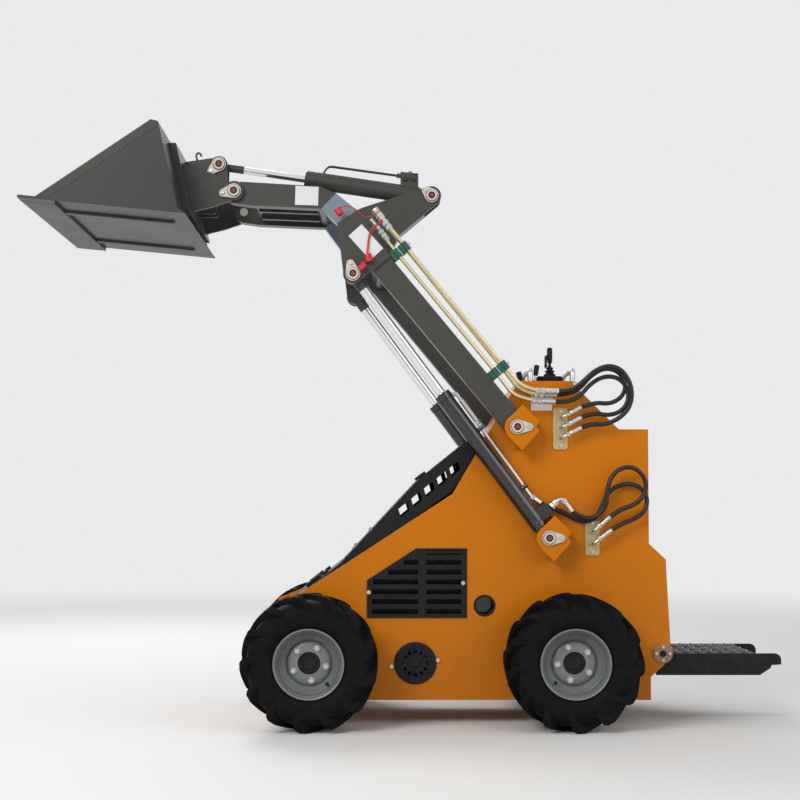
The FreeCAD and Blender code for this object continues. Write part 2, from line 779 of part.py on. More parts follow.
def tube_clamps():
    """The stacked blocks that hold the tubes on the arm, each on a post."""
    made = []
    for distance in tube_clamp_distances:
        corners = [(-20, arm_depth / 2), (20, arm_depth / 2), (20, 116), (-20, 116)]
        block = slab([arm_point(distance + d, r) for d, r in corners], -arm_plane_y - 22, -arm_plane_y + 22)
        for route in arm_tube_routes:
            block = block.cut(swept(route, tube_radius + 0.05, [60.0, 45.0, 60.0])[0])
        made.append(max(block.Solids, key=lambda solid: solid.Volume))
    return Part.makeCompound(made)


def couplers():
    """The quick couplers at the upper ends of the tubes."""
    made = []
    for route, radius, length in zip(arm_tube_routes, (14.0, 11.0, 14.0), (62.0, 70.0, 62.0)):
        start = V(*route[0])
        back = (start - V(*route[1])).normalize()
        body = rod(start, start + back * length, radius)
        made.append(body.fuse(rod(start + back * 0.0, start + back * 12, radius + 2)))
    return Part.makeCompound(made)


# Hoses of the left side: X, Y, Z from the tubes to the plate
hose_routes = [
    ("hose_upper_outer", [
        (512.3, -312, 1147), (553, -312, 1145.8), (594.3, -316.9, 1165.6), (619.9, -320.1, 1205.1),
        (662.6, -321.1, 1225.1), (709.4, -320.7, 1219.3), (745.9, -318.9, 1189.6), (761.1, -316.1, 1145),
        (750.3, -311.5, 1099.4), (716.9, -306.1, 1066.4), (673.7, -301.7, 1047.9), (626.9, -299, 1042.3),
        (590, -299, 1023),
    ]),
    ("hose_upper_middle", [
        (500.3, -312, 1111), (547.7, -312, 1108.6), (593.1, -303.9, 1136.5), (610.5, -298.6, 1187.7),
        (651.9, -297.2, 1221.7), (704.5, -296.2, 1222.4), (745.4, -295.7, 1190.6), (757.1, -296.1, 1140.2),
        (734.3, -297.4, 1093.8), (687.5, -299.1, 1071.8), (633.8, -299, 1080.9), (590, -299, 1058),
    ]),
    ("hose_upper_inner", [
        (512.3, -288, 1162), (558.3, -288, 1162), (601.2, -279, 1191.1), (628.8, -275, 1238.1),
        (680.5, -274, 1255.4), (730.6, -274, 1233.9), (753.4, -278.4, 1184.4), (737, -284.3, 1132.7),
        (690.5, -292.9, 1105.6), (634.6, -299, 1116.3), (590, -299, 1093),
    ]),
]
lower_hose_routes = [
    ("hose_lower_outer", [
        (551.3, -300, 740.8), (593.1, -300, 714.8), (645, -305.6, 721.5), (679, -311.1, 761.3),
        (678.1, -314, 813.9), (692.9, -313.2, 864.9), (737.9, -312.3, 893.3), (790.2, -310.5, 884.1),
        (822.9, -308.4, 842.2), (819.3, -305.8, 789.2), (781, -302.7, 751.3), (726.2, -299, 748.6),
        (689.5, -299, 716.8),
    ]),
    ("hose_lower_inner", [
        (438.4, -289.9, 774.4), (475.7, -277, 748.8), (526.4, -274, 731.5), (573.2, -274, 705.3),
        (626.3, -274.1, 714), (662, -275.6, 754.7), (669, -277.4, 808.4), (708.9, -279, 845.8),
        (763.5, -281.9, 847.7), (805.5, -286.5, 812.9), (813.3, -292.4, 759.1), (783, -297.1, 713.7),
        (730.1, -299, 699.7), (694.6, -299, 672.3),
    ]),
]

# Hose plates: outline box, and the fittings with where each one leads
upper_plate = (497.0, 548.0, 949.0, 1093.0)
upper_fittings = [((524.0, 988.5), (590.0, 1023.0)), ((524.0, 1023.5), (590.0, 1058.0)), ((524.0, 1058.5), (590.0, 1093.0))]
lower_plate = (608.0, 658.5, 583.0, 703.5)
lower_fittings = [((632.0, 667.0), (689.5, 716.8)), ((632.0, 624.0), (694.6, 672.3))]


def hose_plate(outline, fittings):
    x0, x1, z0, z1 = outline
    face = -plate_outer_y - hose_plate_thickness
    made = [box(x0, x1, face, -plate_outer_y, z0, z1)]
    for (x, z), (end_x, end_z) in fittings:
        start, knee, end = (x, face + 1, z), (x, -299, z), (end_x, -299, end_z)
        reach = V(*end) - V(*knee)
        lead = V(*knee) + reach.normalize() * (reach.Length * 0.42)
        made.append(swept([start, knee, (lead.x, lead.y, lead.z)], 6.5, [10.0])[0])
        made.append(disc((x, z), 11, face - 14, face + 1))
        made.append(rod(lead - reach * 2, end, ferrule_radius))
    return fuse(made)


def controls():
    """The hand rails, levers and joystick on the console."""
    top = console_top_z
    base = box(446, 545, -95, 95, top, top + 9)
    boot = Part.makeCone(24, 11, 46, V(494, 0, top + 9))
    stick = rod((494, 0, top + 40), (495, 0, top + 92), 5)
    grip = Part.makeCone(8, 12, 48, V(495, 0, top + 80))
    made = [fuse([base, boot, stick, grip])]
    for x, tilt in ((404, -12), (421, 4), (436, 10)):
        lever = rod((x, -130, top), (x, -130, top + 14), 6)
        lever = lever.fuse(rod((x, -130, top + 10), (x + tilt, -130, top + 44), 4))
        made.append(lever.fuse(Part.makeSphere(11, V(x + tilt, -130, top + 50))))
    for x in (398, 556):
        rail = [(x, -200, top), (x, -200, top + 52), (x, 200, top + 52), (x, 200, top)]
        made.append(swept(rail, 9, [24.0, 24.0])[0])
    return Part.makeCompound(made)


def platform():
    """The fold-down deck with its two skirts and the lugs that hang on the pivot."""
    half = platform_half_width
    skirt = [(863, 164), (1226, 164), (1269, 198), (1300, 205), (1300, 218), (1275, 240), (900, 240), (863, 268)]
    deck = box(915, platform_end_x - 25, -half, half, platform_top_z - platform_sheet, platform_top_z)
    sides = [slab(skirt, -half, -half + platform_sheet), slab(skirt, half - platform_sheet, half)]
    bar = disc(platform_pivot, 20, -half, half)
    whole = fuse([deck, bar] + sides)
    for y0 in (-half - 1, half - platform_pin_depth):
        whole = whole.cut(disc(platform_pivot, platform_pin_radius + pin_clearance, y0, y0 + platform_pin_depth + 1))
    return whole


def platform_flange():
    outer = -plate_outer_y - 5
    flange = disc(platform_pivot, 34, outer, -plate_outer_y)
    pin = disc(platform_pivot, platform_pin_radius, outer - 3, -platform_half_width + platform_pin_depth - side_play)
    return fuse([flange, pin])


hood_line = [
    (-384, 452),
    (-372, 452),
    (-238, 556),
    (28, 842),
    (190, 972),
    (238, 963),
    (237, 957),
    (193, 964),
    (33, 836),
    (-233, 550),
    (-368, 446),
    (-384, 446),
]


def hood():
    """The slatted black cover over the engine, hinged at its upper end."""
    side = [(-384, 446), (-372, 452), (-238, 556), (28, 842), (190, 972), (238, 963), (256, 925), (240, 900), (140, 800), (-384, 420)]
    half = hood_half_width
    top = slab(hood_line, -half, half)
    sides = [slab(side, y, y + 3) for y in (-half, half - 3)]
    whole = fuse([top] + sides)
    for n in range(hood_holes):
        x = hood_hole_start[0] + 44.0 * n
        z = hood_hole_start[1] + 35.3 * n
        hole = slab([(x, z), (x + 30, z + 24), (x + 22, z + 52), (x - 8, z + 28)], -half - 1, half + 1)
        whole = whole.cut(hole)
    return whole.cut(disc(hood_pivot, hood_pin_radius + pin_clearance, -half - 1, half + 1))


def save_hose(name, route, right):
    hose, length = swept(route, hose_radius)
    radii = [round(r) for r in arc_radii(route)]
    share = hose.Volume / (math.pi * hose_radius**2 * length)
    print(name, "length", round(length), "share", round(share, 3), "radii", radii)
    save(name, mirrored(hose) if right else hose)


def main():
    left_tyre = tyre()
    for name, x, side, first_bolt, valve_turn in wheel_places:
        turn = mirrored if side > 0 else (lambda shape: shape)
        save("tyre_" + name, turn(left_tyre.translated(V(x, 0, wheel_z))))
        save("rim_" + name, turn(rim(x, first_bolt, valve_turn)))
    save("hub_motors", axles())
    for name, turn in (("left", lambda shape: shape), ("right", mirrored)):
        save("side_plate_" + name, turn(side_plate()))
        save("vents_" + name, turn(Part.makeCompound([side_vent(), round_vent_cover()])))
        brackets = [bracket(boom_pivot), bracket(lift_base_pin)]
        save("pin_brackets_" + name, turn(Part.makeCompound(brackets)))
        inner = -plate_outer_y
        pins = [flag(boom_pivot, (45, 0), -bracket_outer_y, inner), flag(lift_base_pin, (45, 0), -bracket_outer_y, inner)]
        save("chassis_pins_" + name, turn(Part.makeCompound(pins)))
        save("platform_flange_" + name, turn(platform_flange()))
        save("lift_arm_" + name, turn(lift_arm()))
        save("gooseneck_" + name, turn(gooseneck()))
        save("flare_" + name, turn(flare()))
        save("front_limb_" + name, turn(limb()))
        rod_flag = flag(lift_rod_pin, (-10, 38), -gooseneck_outer_y, -gooseneck_outer_y + gooseneck_plate)
        pivot_pin = flag(bucket_pivot, (-42, -9), -250, -limb_inner_y)
        held = [rod_flag, pivot_pin]
        if name == "left":
            held.append(flag(tilt_base_pin, (-25, 21), -anchor_half, anchor_half))
        save("boom_pins_" + name, turn(Part.makeCompound(held)))
        save("lift_barrel_" + name, turn(lift_barrel()))
        save("lift_rod_" + name, turn(lift_rod()))
    save("floor_pan", floor_pan())
    save("console", console())
    save("engine", engine())
    save("hood", hood())
    save("platform", platform())
    save("cross_members", cross_members())
    stubs = [flag(tilt_rod_pin, (-40, 22), -anchor_half, -anchor_half + anchor_plate), disc(tilt_rod_pin, pin_radius, anchor_half - anchor_plate, anchor_half + 4)]
    save("tilt_rod_pins", Part.makeCompound(stubs))
    save("tilt_barrel", tilt_barrel())
    save("tilt_rod", tilt_rod())
    save("attachment", attachment())
    save("bucket", bucket_shell())
    save("cutting_edge", cutting_edge())
    save("controls", controls())
    save("arm_tubes", arm_tubes())
    save("tube_fittings", Part.makeCompound([tube_clamps(), couplers()]))
    plates = [hose_plate(upper_plate, upper_fittings), hose_plate(lower_plate, lower_fittings)]
    save("hose_plates", Part.makeCompound(plates + [mirrored(plates[1])]))
    for name, route in hose_routes:
        save_hose(name, route, False)
    for name, route in lower_hose_routes:
        save_hose(name + "_left", route, False)
        save_hose(name + "_right", route, True)


main()
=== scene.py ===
import bpy
import bmesh
import json
import math
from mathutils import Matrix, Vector

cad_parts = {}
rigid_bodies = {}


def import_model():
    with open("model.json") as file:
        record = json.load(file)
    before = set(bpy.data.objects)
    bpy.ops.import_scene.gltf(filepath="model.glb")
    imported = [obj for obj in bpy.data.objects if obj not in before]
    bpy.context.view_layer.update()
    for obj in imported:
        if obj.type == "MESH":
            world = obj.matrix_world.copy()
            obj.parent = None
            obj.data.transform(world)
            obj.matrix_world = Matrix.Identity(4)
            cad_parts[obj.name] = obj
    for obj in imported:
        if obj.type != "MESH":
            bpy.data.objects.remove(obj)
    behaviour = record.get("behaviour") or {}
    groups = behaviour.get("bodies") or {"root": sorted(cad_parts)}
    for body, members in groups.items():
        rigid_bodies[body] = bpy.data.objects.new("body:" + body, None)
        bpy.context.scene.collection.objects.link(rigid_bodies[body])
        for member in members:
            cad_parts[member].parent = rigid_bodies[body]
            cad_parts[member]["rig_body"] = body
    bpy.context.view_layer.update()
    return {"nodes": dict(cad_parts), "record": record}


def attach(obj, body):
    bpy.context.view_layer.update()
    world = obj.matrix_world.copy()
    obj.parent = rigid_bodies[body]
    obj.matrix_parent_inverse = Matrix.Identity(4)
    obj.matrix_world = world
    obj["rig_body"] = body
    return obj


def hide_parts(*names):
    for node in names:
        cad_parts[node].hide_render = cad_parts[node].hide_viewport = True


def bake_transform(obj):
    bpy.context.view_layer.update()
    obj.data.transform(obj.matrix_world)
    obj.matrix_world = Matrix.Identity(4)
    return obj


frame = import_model()
nodes = frame["nodes"]
print("frame loaded:", len(nodes), "nodes")

# places seen from the side, in millimetres: X and Z
pins = {
    "boom": (368.0, 1024.0),
    "liftBase": (477.0, 645.0),
    "liftRod": (-192.0, 1546.0),
    "bucket": (-605.5, 1844.5),
    "tiltRod": (-676.5, 1977.0),
    "tiltBase": (85.0, 1865.0),
    "platform": (877.0, 245.0),
}
wheels = {
    # X of the axle, and the side
    "front_left": (-337.0, -1), "front_right": (-337.0, 1), "rear_left": (549.0, -1),
    "rear_right": (549.0, 1),
}
sideNames = {-1: "left", 1: "right"}
plateFace = 258.0  # how far out the side plates' outer faces lie


# materials

def fillInputs(tree, node, inputs):
    # an input, by name or number, takes a value or another node's output
    for key, value in inputs.items():
        if isinstance(value, bpy.types.NodeSocket):
            tree.links.new(value, node.inputs[key])
        else:
            node.inputs[key].default_value = value


def addNode(tree, kind, place, inputs, **settings):
    # gives back the new node's outputs
    node = tree.nodes.new(kind)
    node.location = place
    for key, value in settings.items():
        setattr(node, key, value)
    fillInputs(tree, node, inputs)
    return node.outputs


def makeGroup(name, inputs, outputs):
    # an input whose value is a tuple is a colour, any other a number
    group = bpy.data.node_groups.new(name, "ShaderNodeTree")
    for label, value in inputs.items():
        kind = "NodeSocketColor" if isinstance(value, tuple) else "NodeSocketFloat"
        group.interface.new_socket(label, in_out="INPUT", socket_type=kind).default_value = value
    for label, kind in outputs.items():
        group.interface.new_socket(label, in_out="OUTPUT", socket_type=kind)
    return group, addNode(group, "NodeGroupInput", (-900, 0), {})


filmLook = {
    "dustColor": (0.32, 0.27, 0.2, 1), "dustRoughness": 0.5, "ripple": 0.12,
    "broad": {"Scale": 3.0, "Detail": 4.0, "Roughness": 0.6}, "shadeFrom": 0.3, "shadeTo": 0.7,
    "fine": {"Scale": 38.0, "Detail": 6.0, "Roughness": 0.7}, "patchFrom": 0.42, "patchTo": 0.72,
    # heights in metres where the dust thins out and where it is full, and the share that is left above
    "thinAt": 0.9, "fullAt": 0.05, "leftAbove": 0.25,
}
grainLook = {"Detail": 3.0, "Roughness": 0.55}


def buildFilmGroup():
    # colour that drifts a little over a panel, with dust that gathers low down
    group, given = makeGroup(
        "dustFilm", {"Paint": (0.5, 0.5, 0.5, 1), "Drift": 0.12, "Amount": 0.2, "Base Roughness": 0.35},
        {"Color": "NodeSocketColor", "Roughness": "NodeSocketFloat"},
    )
    look = filmLook
    place = addNode(group, "ShaderNodeTexCoord", (-900, -300), {})["Object"]
    broad = addNode(group, "ShaderNodeTexNoise", (-600, -100), {"Vector": place, **look["broad"]})["Fac"]
    fine = addNode(group, "ShaderNodeTexNoise", (-600, -400), {"Vector": place, **look["fine"]})["Fac"]
    low = addNode(group, "ShaderNodeMath", (-600, 200), {0: 1.0, 1: given["Drift"]}, operation="SUBTRACT")[0]
    shade = addNode(group, "ShaderNodeMapRange", (-400, 100), {
        "Value": broad, "From Min": look["shadeFrom"], "From Max": look["shadeTo"], "To Min": 1.0,
        "To Max": low,
    })["Result"]
    tint = addNode(
        group, "ShaderNodeVectorMath", (-150, 150), {0: given["Paint"], "Scale": shade}, operation="SCALE",
    )[0]
    split = addNode(group, "ShaderNodeSeparateXYZ", (-700, -650), {0: place})
    height = addNode(group, "ShaderNodeMapRange", (-500, -650), {
        "Value": split["Z"], "From Min": look["thinAt"], "From Max": look["fullAt"],
        "To Min": look["leftAbove"], "To Max": 1.0,
    })["Result"]
    patch = addNode(group, "ShaderNodeMapRange", (-350, -350), {
        "Value": fine, "From Min": look["patchFrom"], "From Max": look["patchTo"],
    })["Result"]
    both = addNode(group, "ShaderNodeMath", (-150, -400), {0: patch, 1: height}, operation="MULTIPLY")[0]
    mask = addNode(
        group, "ShaderNodeMath", (50, -400), {0: both, 1: given["Amount"]},
        operation="MULTIPLY", use_clamp=True,
    )[0]
    color = addNode(
        group, "ShaderNodeMix", (300, 100), {0: mask, 6: tint, 7: look["dustColor"]}, data_type="RGBA",
    )[2]
    rough = addNode(
        group, "ShaderNodeMath", (300, -200), {0: mask, 1: look["dustRoughness"], 2: given["Base Roughness"]},
        operation="MULTIPLY_ADD", use_clamp=True,
    )[0]
    ripple = addNode(
        group, "ShaderNodeMath", (500, -250), {0: broad, 1: look["ripple"], 2: rough},
        operation="MULTIPLY_ADD", use_clamp=True,
    )[0]
    addNode(group, "NodeGroupOutput", (900, 0), {"Color": color, "Roughness": ripple})
    return group


def buildGrainGroup():
    # fine surface relief as a height
    group, given = makeGroup("fineGrain", {"Scale": 200.0}, {"Height": "NodeSocketFloat"})
    place = addNode(group, "ShaderNodeTexCoord", (-900, -300), {})["Object"]
    height = addNode(
        group, "ShaderNodeTexNoise", (-400, -100), {"Vector": place, "Scale": given["Scale"], **grainLook},
    )["Fac"]
    addNode(group, "NodeGroupOutput", (900, 0), {"Height": height})
    return group


dustFilm = buildFilmGroup()
fineGrain = buildGrainGroup()
finishes = {
    # colour, specular, roughness, metallic, coat, drift of the colour, dust, scale of the grain, bump
    "body_paint": ((0.49, 0.142, 0.0), 0.13, 0.26, 0.0, 0.07, 0.1, 0.05, 320.0, 0.02),
    "boom_paint": ((0.05, 0.048, 0.043), 0.22, 0.3, 0.0, 0.12, 0.16, 0.06, 300.0, 0.03),
    "bucket_paint": ((0.034, 0.034, 0.033), 0.2, 0.34, 0.0, 0.05, 0.18, 0.05, 280.0, 0.03),
    "bucket_rim": ((0.05, 0.046, 0.041), 0.2, 0.42, 0.0, 0.0, 0.25, 0.08, 200.0, 0.05),
    # flare_paint is the boom's dark steel made lighter and blue-grey: painted sky reflection and painted light
    # on the flare plates, which lean out towards the front
    "flare_paint": ((0.165, 0.205, 0.24), 0.35, 0.3, 0.0, 0.3, 0.16, 0.1, 300.0, 0.03),
    "black_paint": ((0.011, 0.011, 0.012), 0.5, 0.12, 0.0, 0.35, 0.2, 0.02, 260.0, 0.015),
    "rim_paint": ((0.17, 0.182, 0.186), 0.3, 0.3, 0.35, 0.2, 0.12, 0.16, 350.0, 0.03),
    "zinc": ((0.74, 0.63, 0.37), 0.5, 0.2, 0.9, 0.0, 0.14, 0.02, 90.0, 0.03),
    "zinc_plate": ((0.52, 0.38, 0.17), 0.4, 0.42, 0.55, 0.0, 0.3, 0.08, 130.0, 0.05),
    "plate_white": ((0.62, 0.62, 0.64), 0.3, 0.3, 0.0, 0.2, 0.08, 0.06, 260.0, 0.02),
    "steel": ((0.62, 0.61, 0.58), 0.5, 0.28, 0.9, 0.0, 0.25, 0.08, 240.0, 0.04),
    "copper_plate": ((0.36, 0.2, 0.13), 0.4, 0.36, 0.7, 0.0, 0.35, 0.12, 160.0, 0.05),
    "chrome_rod": ((0.8, 0.8, 0.81), 0.5, 0.07, 1.0, 0.0, 0.05, 0.0, 500.0, 0.008),
    "tyre_rubber": ((0.0045, 0.005, 0.0055), 0.07, 0.6, 0.0, 0.0, 0.2, 0.015, 420.0, 0.12),
    "black_plastic": ((0.0085, 0.0105, 0.0125), 0.13, 0.42, 0.0, 0.0, 0.15, 0.04, 700.0, 0.08),
    "hose_rubber": ((0.013, 0.013, 0.014), 0.3, 0.33, 0.0, 0.0, 0.1, 0.02, 900.0, 0.1),
    "worn_steel": ((0.085, 0.083, 0.075), 0.25, 0.4, 0.35, 0.0, 0.3, 0.2, 120.0, 0.08),
    "flag_paint": ((0.55, 0.52, 0.46), 0.35, 0.34, 0.1, 0.1, 0.12, 0.12, 240.0, 0.04),
    "red_plastic": ((0.5, 0.02, 0.025), 0.3, 0.32, 0.0, 0.1, 0.12, 0.05, 400.0, 0.04),
    "rust_cap": ((0.26, 0.055, 0.03), 0.3, 0.45, 0.2, 0.0, 0.3, 0.15, 260.0, 0.08),
    "green_plastic": ((0.02, 0.09, 0.06), 0.2, 0.45, 0.0, 0.0, 0.12, 0.1, 400.0, 0.05),
}


def buildMaterial(name, look):
    color, specular, rough, metallic, coat, drift, dust, grain, bump = look
    material = bpy.data.materials.new(name)
    material.use_nodes = True
    tree = material.node_tree
    film = addNode(
        tree, "ShaderNodeGroup", (-400, 200),
        {"Paint": (*color, 1), "Drift": drift, "Amount": dust, "Base Roughness": rough}, node_tree=dustFilm,
    )
    height = addNode(tree, "ShaderNodeGroup", (-700, -200), {"Scale": grain}, node_tree=fineGrain)["Height"]
    relief = addNode(
        tree, "ShaderNodeBump", (-300, -250), {"Strength": bump, "Distance": 0.01, "Height": height},
    )["Normal"]
    fillInputs(tree, tree.nodes["Principled BSDF"], {
        "Metallic": metallic, "Coat Weight": coat, "Specular IOR Level": specular, "Coat Roughness": 0.08,
        "Base Color": film["Color"], "Roughness": film["Roughness"], "Normal": relief,
    })
    return material


materials = {name: buildMaterial(name, look) for name, look in finishes.items()}
print("materials:", len(materials))


# meshes: sizes are in millimetres, and places seen from the side are (X, Z)

def meshFrom(name, build, smooth):
    # edges that turn by more than so many degrees stay sharp
    bmesh.ops.recalc_face_normals(build, faces=build.faces)
    limit = math.radians(smooth)
    for face in build.faces:
        face.smooth = True
    for edge in build.edges:
        if len(edge.link_faces) != 2 or edge.calc_face_angle(0) > limit:
            edge.smooth = False
    mesh = bpy.data.meshes.new(name)
    build.to_mesh(mesh)
    build.free()
    return mesh


def addBevel(piece, width, degrees):
    bevel = piece.modifiers.new("edges", "BEVEL")
    bevel.width = width / 1000
    bevel.segments = 2
    bevel.limit_method = "ANGLE"
    bevel.angle_limit = math.radians(degrees)
    bevel.harden_normals = True


def finishPiece(name, build, finish, body, bevel=0, smooth=35.0, replaced=None, bevelFrom=30.0):
    # bevel is the width of the broken edges, where the faces turn by more than bevelFrom degrees
    piece = bpy.data.objects.new(name, meshFrom(name, build, smooth))
    bpy.context.scene.collection.objects.link(piece)
    piece.data.materials.append(materials[finish])
    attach(piece, body)
    if bevel:
        addBevel(piece, bevel, bevelFrom)
    if replaced:
        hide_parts(replaced)


def drawPiece(name, finish, body, draw, **looks):
    build = bmesh.new()
    draw(build)
    finishPiece(name, build, finish, body, **looks)


def copySolid(node, joinFlats=True):
    # a solid's own mesh with its seams merged and its flat faces made whole
    build = bmesh.new()
    build.from_mesh(nodes[node].data)
    bmesh.ops.remove_doubles(build, verts=build.verts, dist=0.00002)
    if joinFlats:
        bmesh.ops.dissolve_limit(build, angle_limit=math.radians(0.8), verts=build.verts, edges=build.edges)
    return build


def dressNode(node, finish, width, turnAbout=None):
    # the solid's own shape with rolled edges, shown in its place
    build = copySolid(node, width > 0)
    if turnAbout:
        (x, z), angle = turnAbout
        across, up = math.cos(math.radians(angle)), math.sin(math.radians(angle))
        for v in build.verts:
            dx, dz = v.co.x - x / 1000, v.co.z - z / 1000
            v.co.x, v.co.z = x / 1000 + dx * across - dz * up, z / 1000 + dx * up + dz * across
    finishPiece(
        node + "_skin", build, finish, nodes[node]["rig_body"], bevel=width, smooth=32.0, replaced=node,
    )


def flat(place, y):
    return (place[0], y, place[1])


def onCircle(centre, radius, turn):
    return (centre[0] + radius * math.cos(turn), centre[1] + radius * math.sin(turn))


def wayTo(start, end):
    length = math.hypot(end[0] - start[0], end[1] - start[1])
    return ((end[0] - start[0]) / length, (end[1] - start[1]) / length)


def beside(start, way, distance, rise=0.0):
    # a place so far along a line seen from the side, and so far off it
    return (start[0] + way[0] * distance + way[1] * rise, start[1] + way[1] * distance - way[0] * rise)


def spinAround(build, profile, centre, steps, closed=True):
    # profile points are (radius, y), turned about the line along Y through centre
    rings = []
    for n in range(steps):
        turn = 2 * math.pi * n / steps
        rings.append([build.verts.new(Vector(flat(onCircle(centre, r, turn), y)) / 1000) for r, y in profile])
    for here, there in zip(rings, rings[1:] + rings[:1]):
        for k in range(0 if closed else 1, len(profile)):
            build.faces.new((here[k - 1], here[k], there[k], there[k - 1]))
    return rings


def loftRings(build, rings):
    made = [[build.verts.new(Vector(p) / 1000) for p in ring] for ring in rings]
    for a, b in zip(made, made[1:]):
        for k in range(len(a)):
            build.faces.new((a[k - 1], a[k], b[k], b[k - 1]))
    build.faces.new(made[0][::-1])
    build.faces.new(made[-1])


def addSlab(build, outline, y0, y1):
    loftRings(build, [[(x, y, z) for x, z in outline] for y in (y0, y1)])


def addBox(build, x0, x1, y0, y1, z0, z1):
    addSlab(build, [(x0, z0), (x1, z0), (x1, z1), (x0, z1)], y0, y1)


def addHexHead(build, centre, y, radius, height, side, turn):
    # a hexagon head whose flat face looks outwards along Y
    rings = []
    for share, out in ((1.0, 0.0), (1.0, 0.75), (0.86, 1.0), (0.3, 1.025)):
        corners = [onCircle(centre, radius * share, turn + math.pi / 3 * k) for k in range(6)]
        rings.append([flat(corner, y + side * height * out) for corner in corners])
    loftRings(build, rings)


def addDisc(build, centre, y0, y1, radius, edge=0.8, steps=24):
    # a turned disc with broken edges, from y0 to y1
    low, high, middle = min(y0, y1), max(y0, y1), 0.01
    profile = [
        (middle, low), (radius - edge, low), (radius, low + edge), (radius, high - edge),
        (radius - edge, high),
        (middle, high),
    ]
    rings = spinAround(build, profile, centre, steps, closed=False)
    bmesh.ops.remove_doubles(build, verts=[v for ring in rings for v in (ring[0], ring[-1])], dist=0.0001)


def ringAbout(place, side, up, radius, steps):
    turns = [2 * math.pi * k / steps for k in range(steps)]
    return [place + (side * math.cos(turn) + up * math.sin(turn)) * radius for turn in turns]


def turned(build, start, end, profile, steps):
    # profile points are (distance from start, radius), turned about the line from start to end
    first = Vector(start)
    axis = (Vector(end) - first).normalized()
    side = axis.orthogonal().normalized()
    up = axis.cross(side)
    loftRings(
        build, [ringAbout(first + axis * distance, side, up, radius, steps) for distance, radius in profile],
    )


def addRod(build, start, end, radius, edge, steps=32):
    length = (Vector(end) - Vector(start)).length
    profile = [(0, radius - edge), (edge, radius), (length - edge, radius), (length, radius - edge)]
    turned(build, start, end, profile, steps)


def addNut(build, start, end, radius):
    addRod(build, start, end, radius, radius * 0.1, 6)


def addFerrule(build, start, end, radius):
    # a crimped sleeve with grooves round it
    length = (Vector(end) - Vector(start)).length
    profile = [(0, radius - 1.6), (0.8, radius - 0.6)]
    grooves = max(2, int(length / 7))
    for n in range(grooves):
        at = 3 + (length - 6) * (n + 0.5) / grooves
        profile += [
            (at - 2.2, radius), (at - 1.0, radius - 0.9), (at + 1.0, radius - 0.9), (at + 2.2, radius),
        ]
    profile += [(length - 0.8, radius - 0.6), (length, radius - 1.6)]
    turned(build, start, end, profile, 28)


def tubeAlong(build, points, radius, steps):
    places = [Vector(p) for p in points]
    side = (places[1] - places[0]).orthogonal().normalized()
    rings = []
    for n, place in enumerate(places):
        ahead = (places[min(n + 1, len(places) - 1)] - places[max(n - 1, 0)]).normalized()
        side = (side - ahead * side.dot(ahead)).normalized()
        rings.append(ringAbout(place, side, ahead.cross(side), radius, steps))
    loftRings(build, rings)


def rounded(points, radius, steps=6):
    # a line of points with its corners turned into arcs
    places = [Vector(p) for p in points]
    made = [places[0]]
    for before, corner, after in zip(places, places[1:], places[2:]):
        back, ahead = before - corner, after - corner
        reach = min(radius, back.length * 0.45, ahead.length * 0.45)
        first, last = corner + back.normalized() * reach, corner + ahead.normalized() * reach
        for k in range(steps + 1):
            t = k / steps
            made.append(first * (1 - t) ** 2 + corner * 2 * t * (1 - t) + last * t ** 2)
    made.append(places[-1])
    return made


# wheels

tyreShape = {
    "radius": 230.0, "middle": 412.0, "bead": 108.0, "beadHalf": 60, "lugs": 13, "lugFoot": 92,
    "section": [
        (108, 84), (114, 88), (122, 89), (127, 96), (140, 101), (160, 103.5), (178, 102), (192, 96),
        (203, 84),
        (209, 64), (211, 36), (211, 0),
    ],
    # along a lug: sideways, top radius, base radius, turn in degrees, half width
    "lug": [
        (97, 165, 150, 0.0, 8.0), (105, 182, 168, 0.6, 12.0), (107.5, 203, 176, 2.6, 13.5),
        (101, 221, 188, 5.5, 14.0),
        (88, 229.4, 200, 8.5, 14.0), (62, 230, 205, 13.0, 13.5), (30, 230, 206, 19.0, 13.5),
        (4, 230, 206, 25.0, 14.5),
        (-8, 229, 206, 28.0, 9.0),
    ],
}


def buildTyre(name, x, side, start):
    hub, middle = (x, tyreShape["radius"]), tyreShape["middle"]

    def drawTyre(build):
        section = tyreShape["section"]
        profile = [(r, side * (middle + u)) for r, u in section]
        profile += [(r, side * (middle - u)) for r, u in section[-2::-1]]
        bead, reach = tyreShape["bead"], tyreShape["beadHalf"]
        profile += [(bead, side * (middle - reach)), (bead, side * (middle + reach))]
        spinAround(build, profile, hub, 96)
        for flank in (1, -1):
            for n in range(tyreShape["lugs"]):
                # the lugs of one flank stand between those of the other
                first = start + 360.0 / tyreShape["lugs"] * (n + (0.5 if flank < 0 else 0.0))
                rings = []
                for sideways, top, base, turn, half in tyreShape["lug"]:
                    yTop = side * (middle + flank * sideways)
                    yBase = side * (middle + flank * min(sideways, tyreShape["lugFoot"]))
                    ring = []
                    for radius, sign, y, extra in (
                        (base, -1, yBase, 3), (base, 1, yBase, 3), (top, 1, yTop, 0), (top, -1, yTop, 0),
                    ):
                        angle = math.radians(first + turn) + sign * (half + extra) / tyreShape["radius"]
                        ring.append(flat(onCircle(hub, radius, angle), y))
                    rings.append(ring)
                loftRings(build, rings)

    drawPiece(
        "tyre_tread_" + name, "tyre_rubber", "wheel_" + name, drawTyre,
        bevel=1.6, smooth=38, replaced="tyre_" + name, bevelFrom=40,
    )


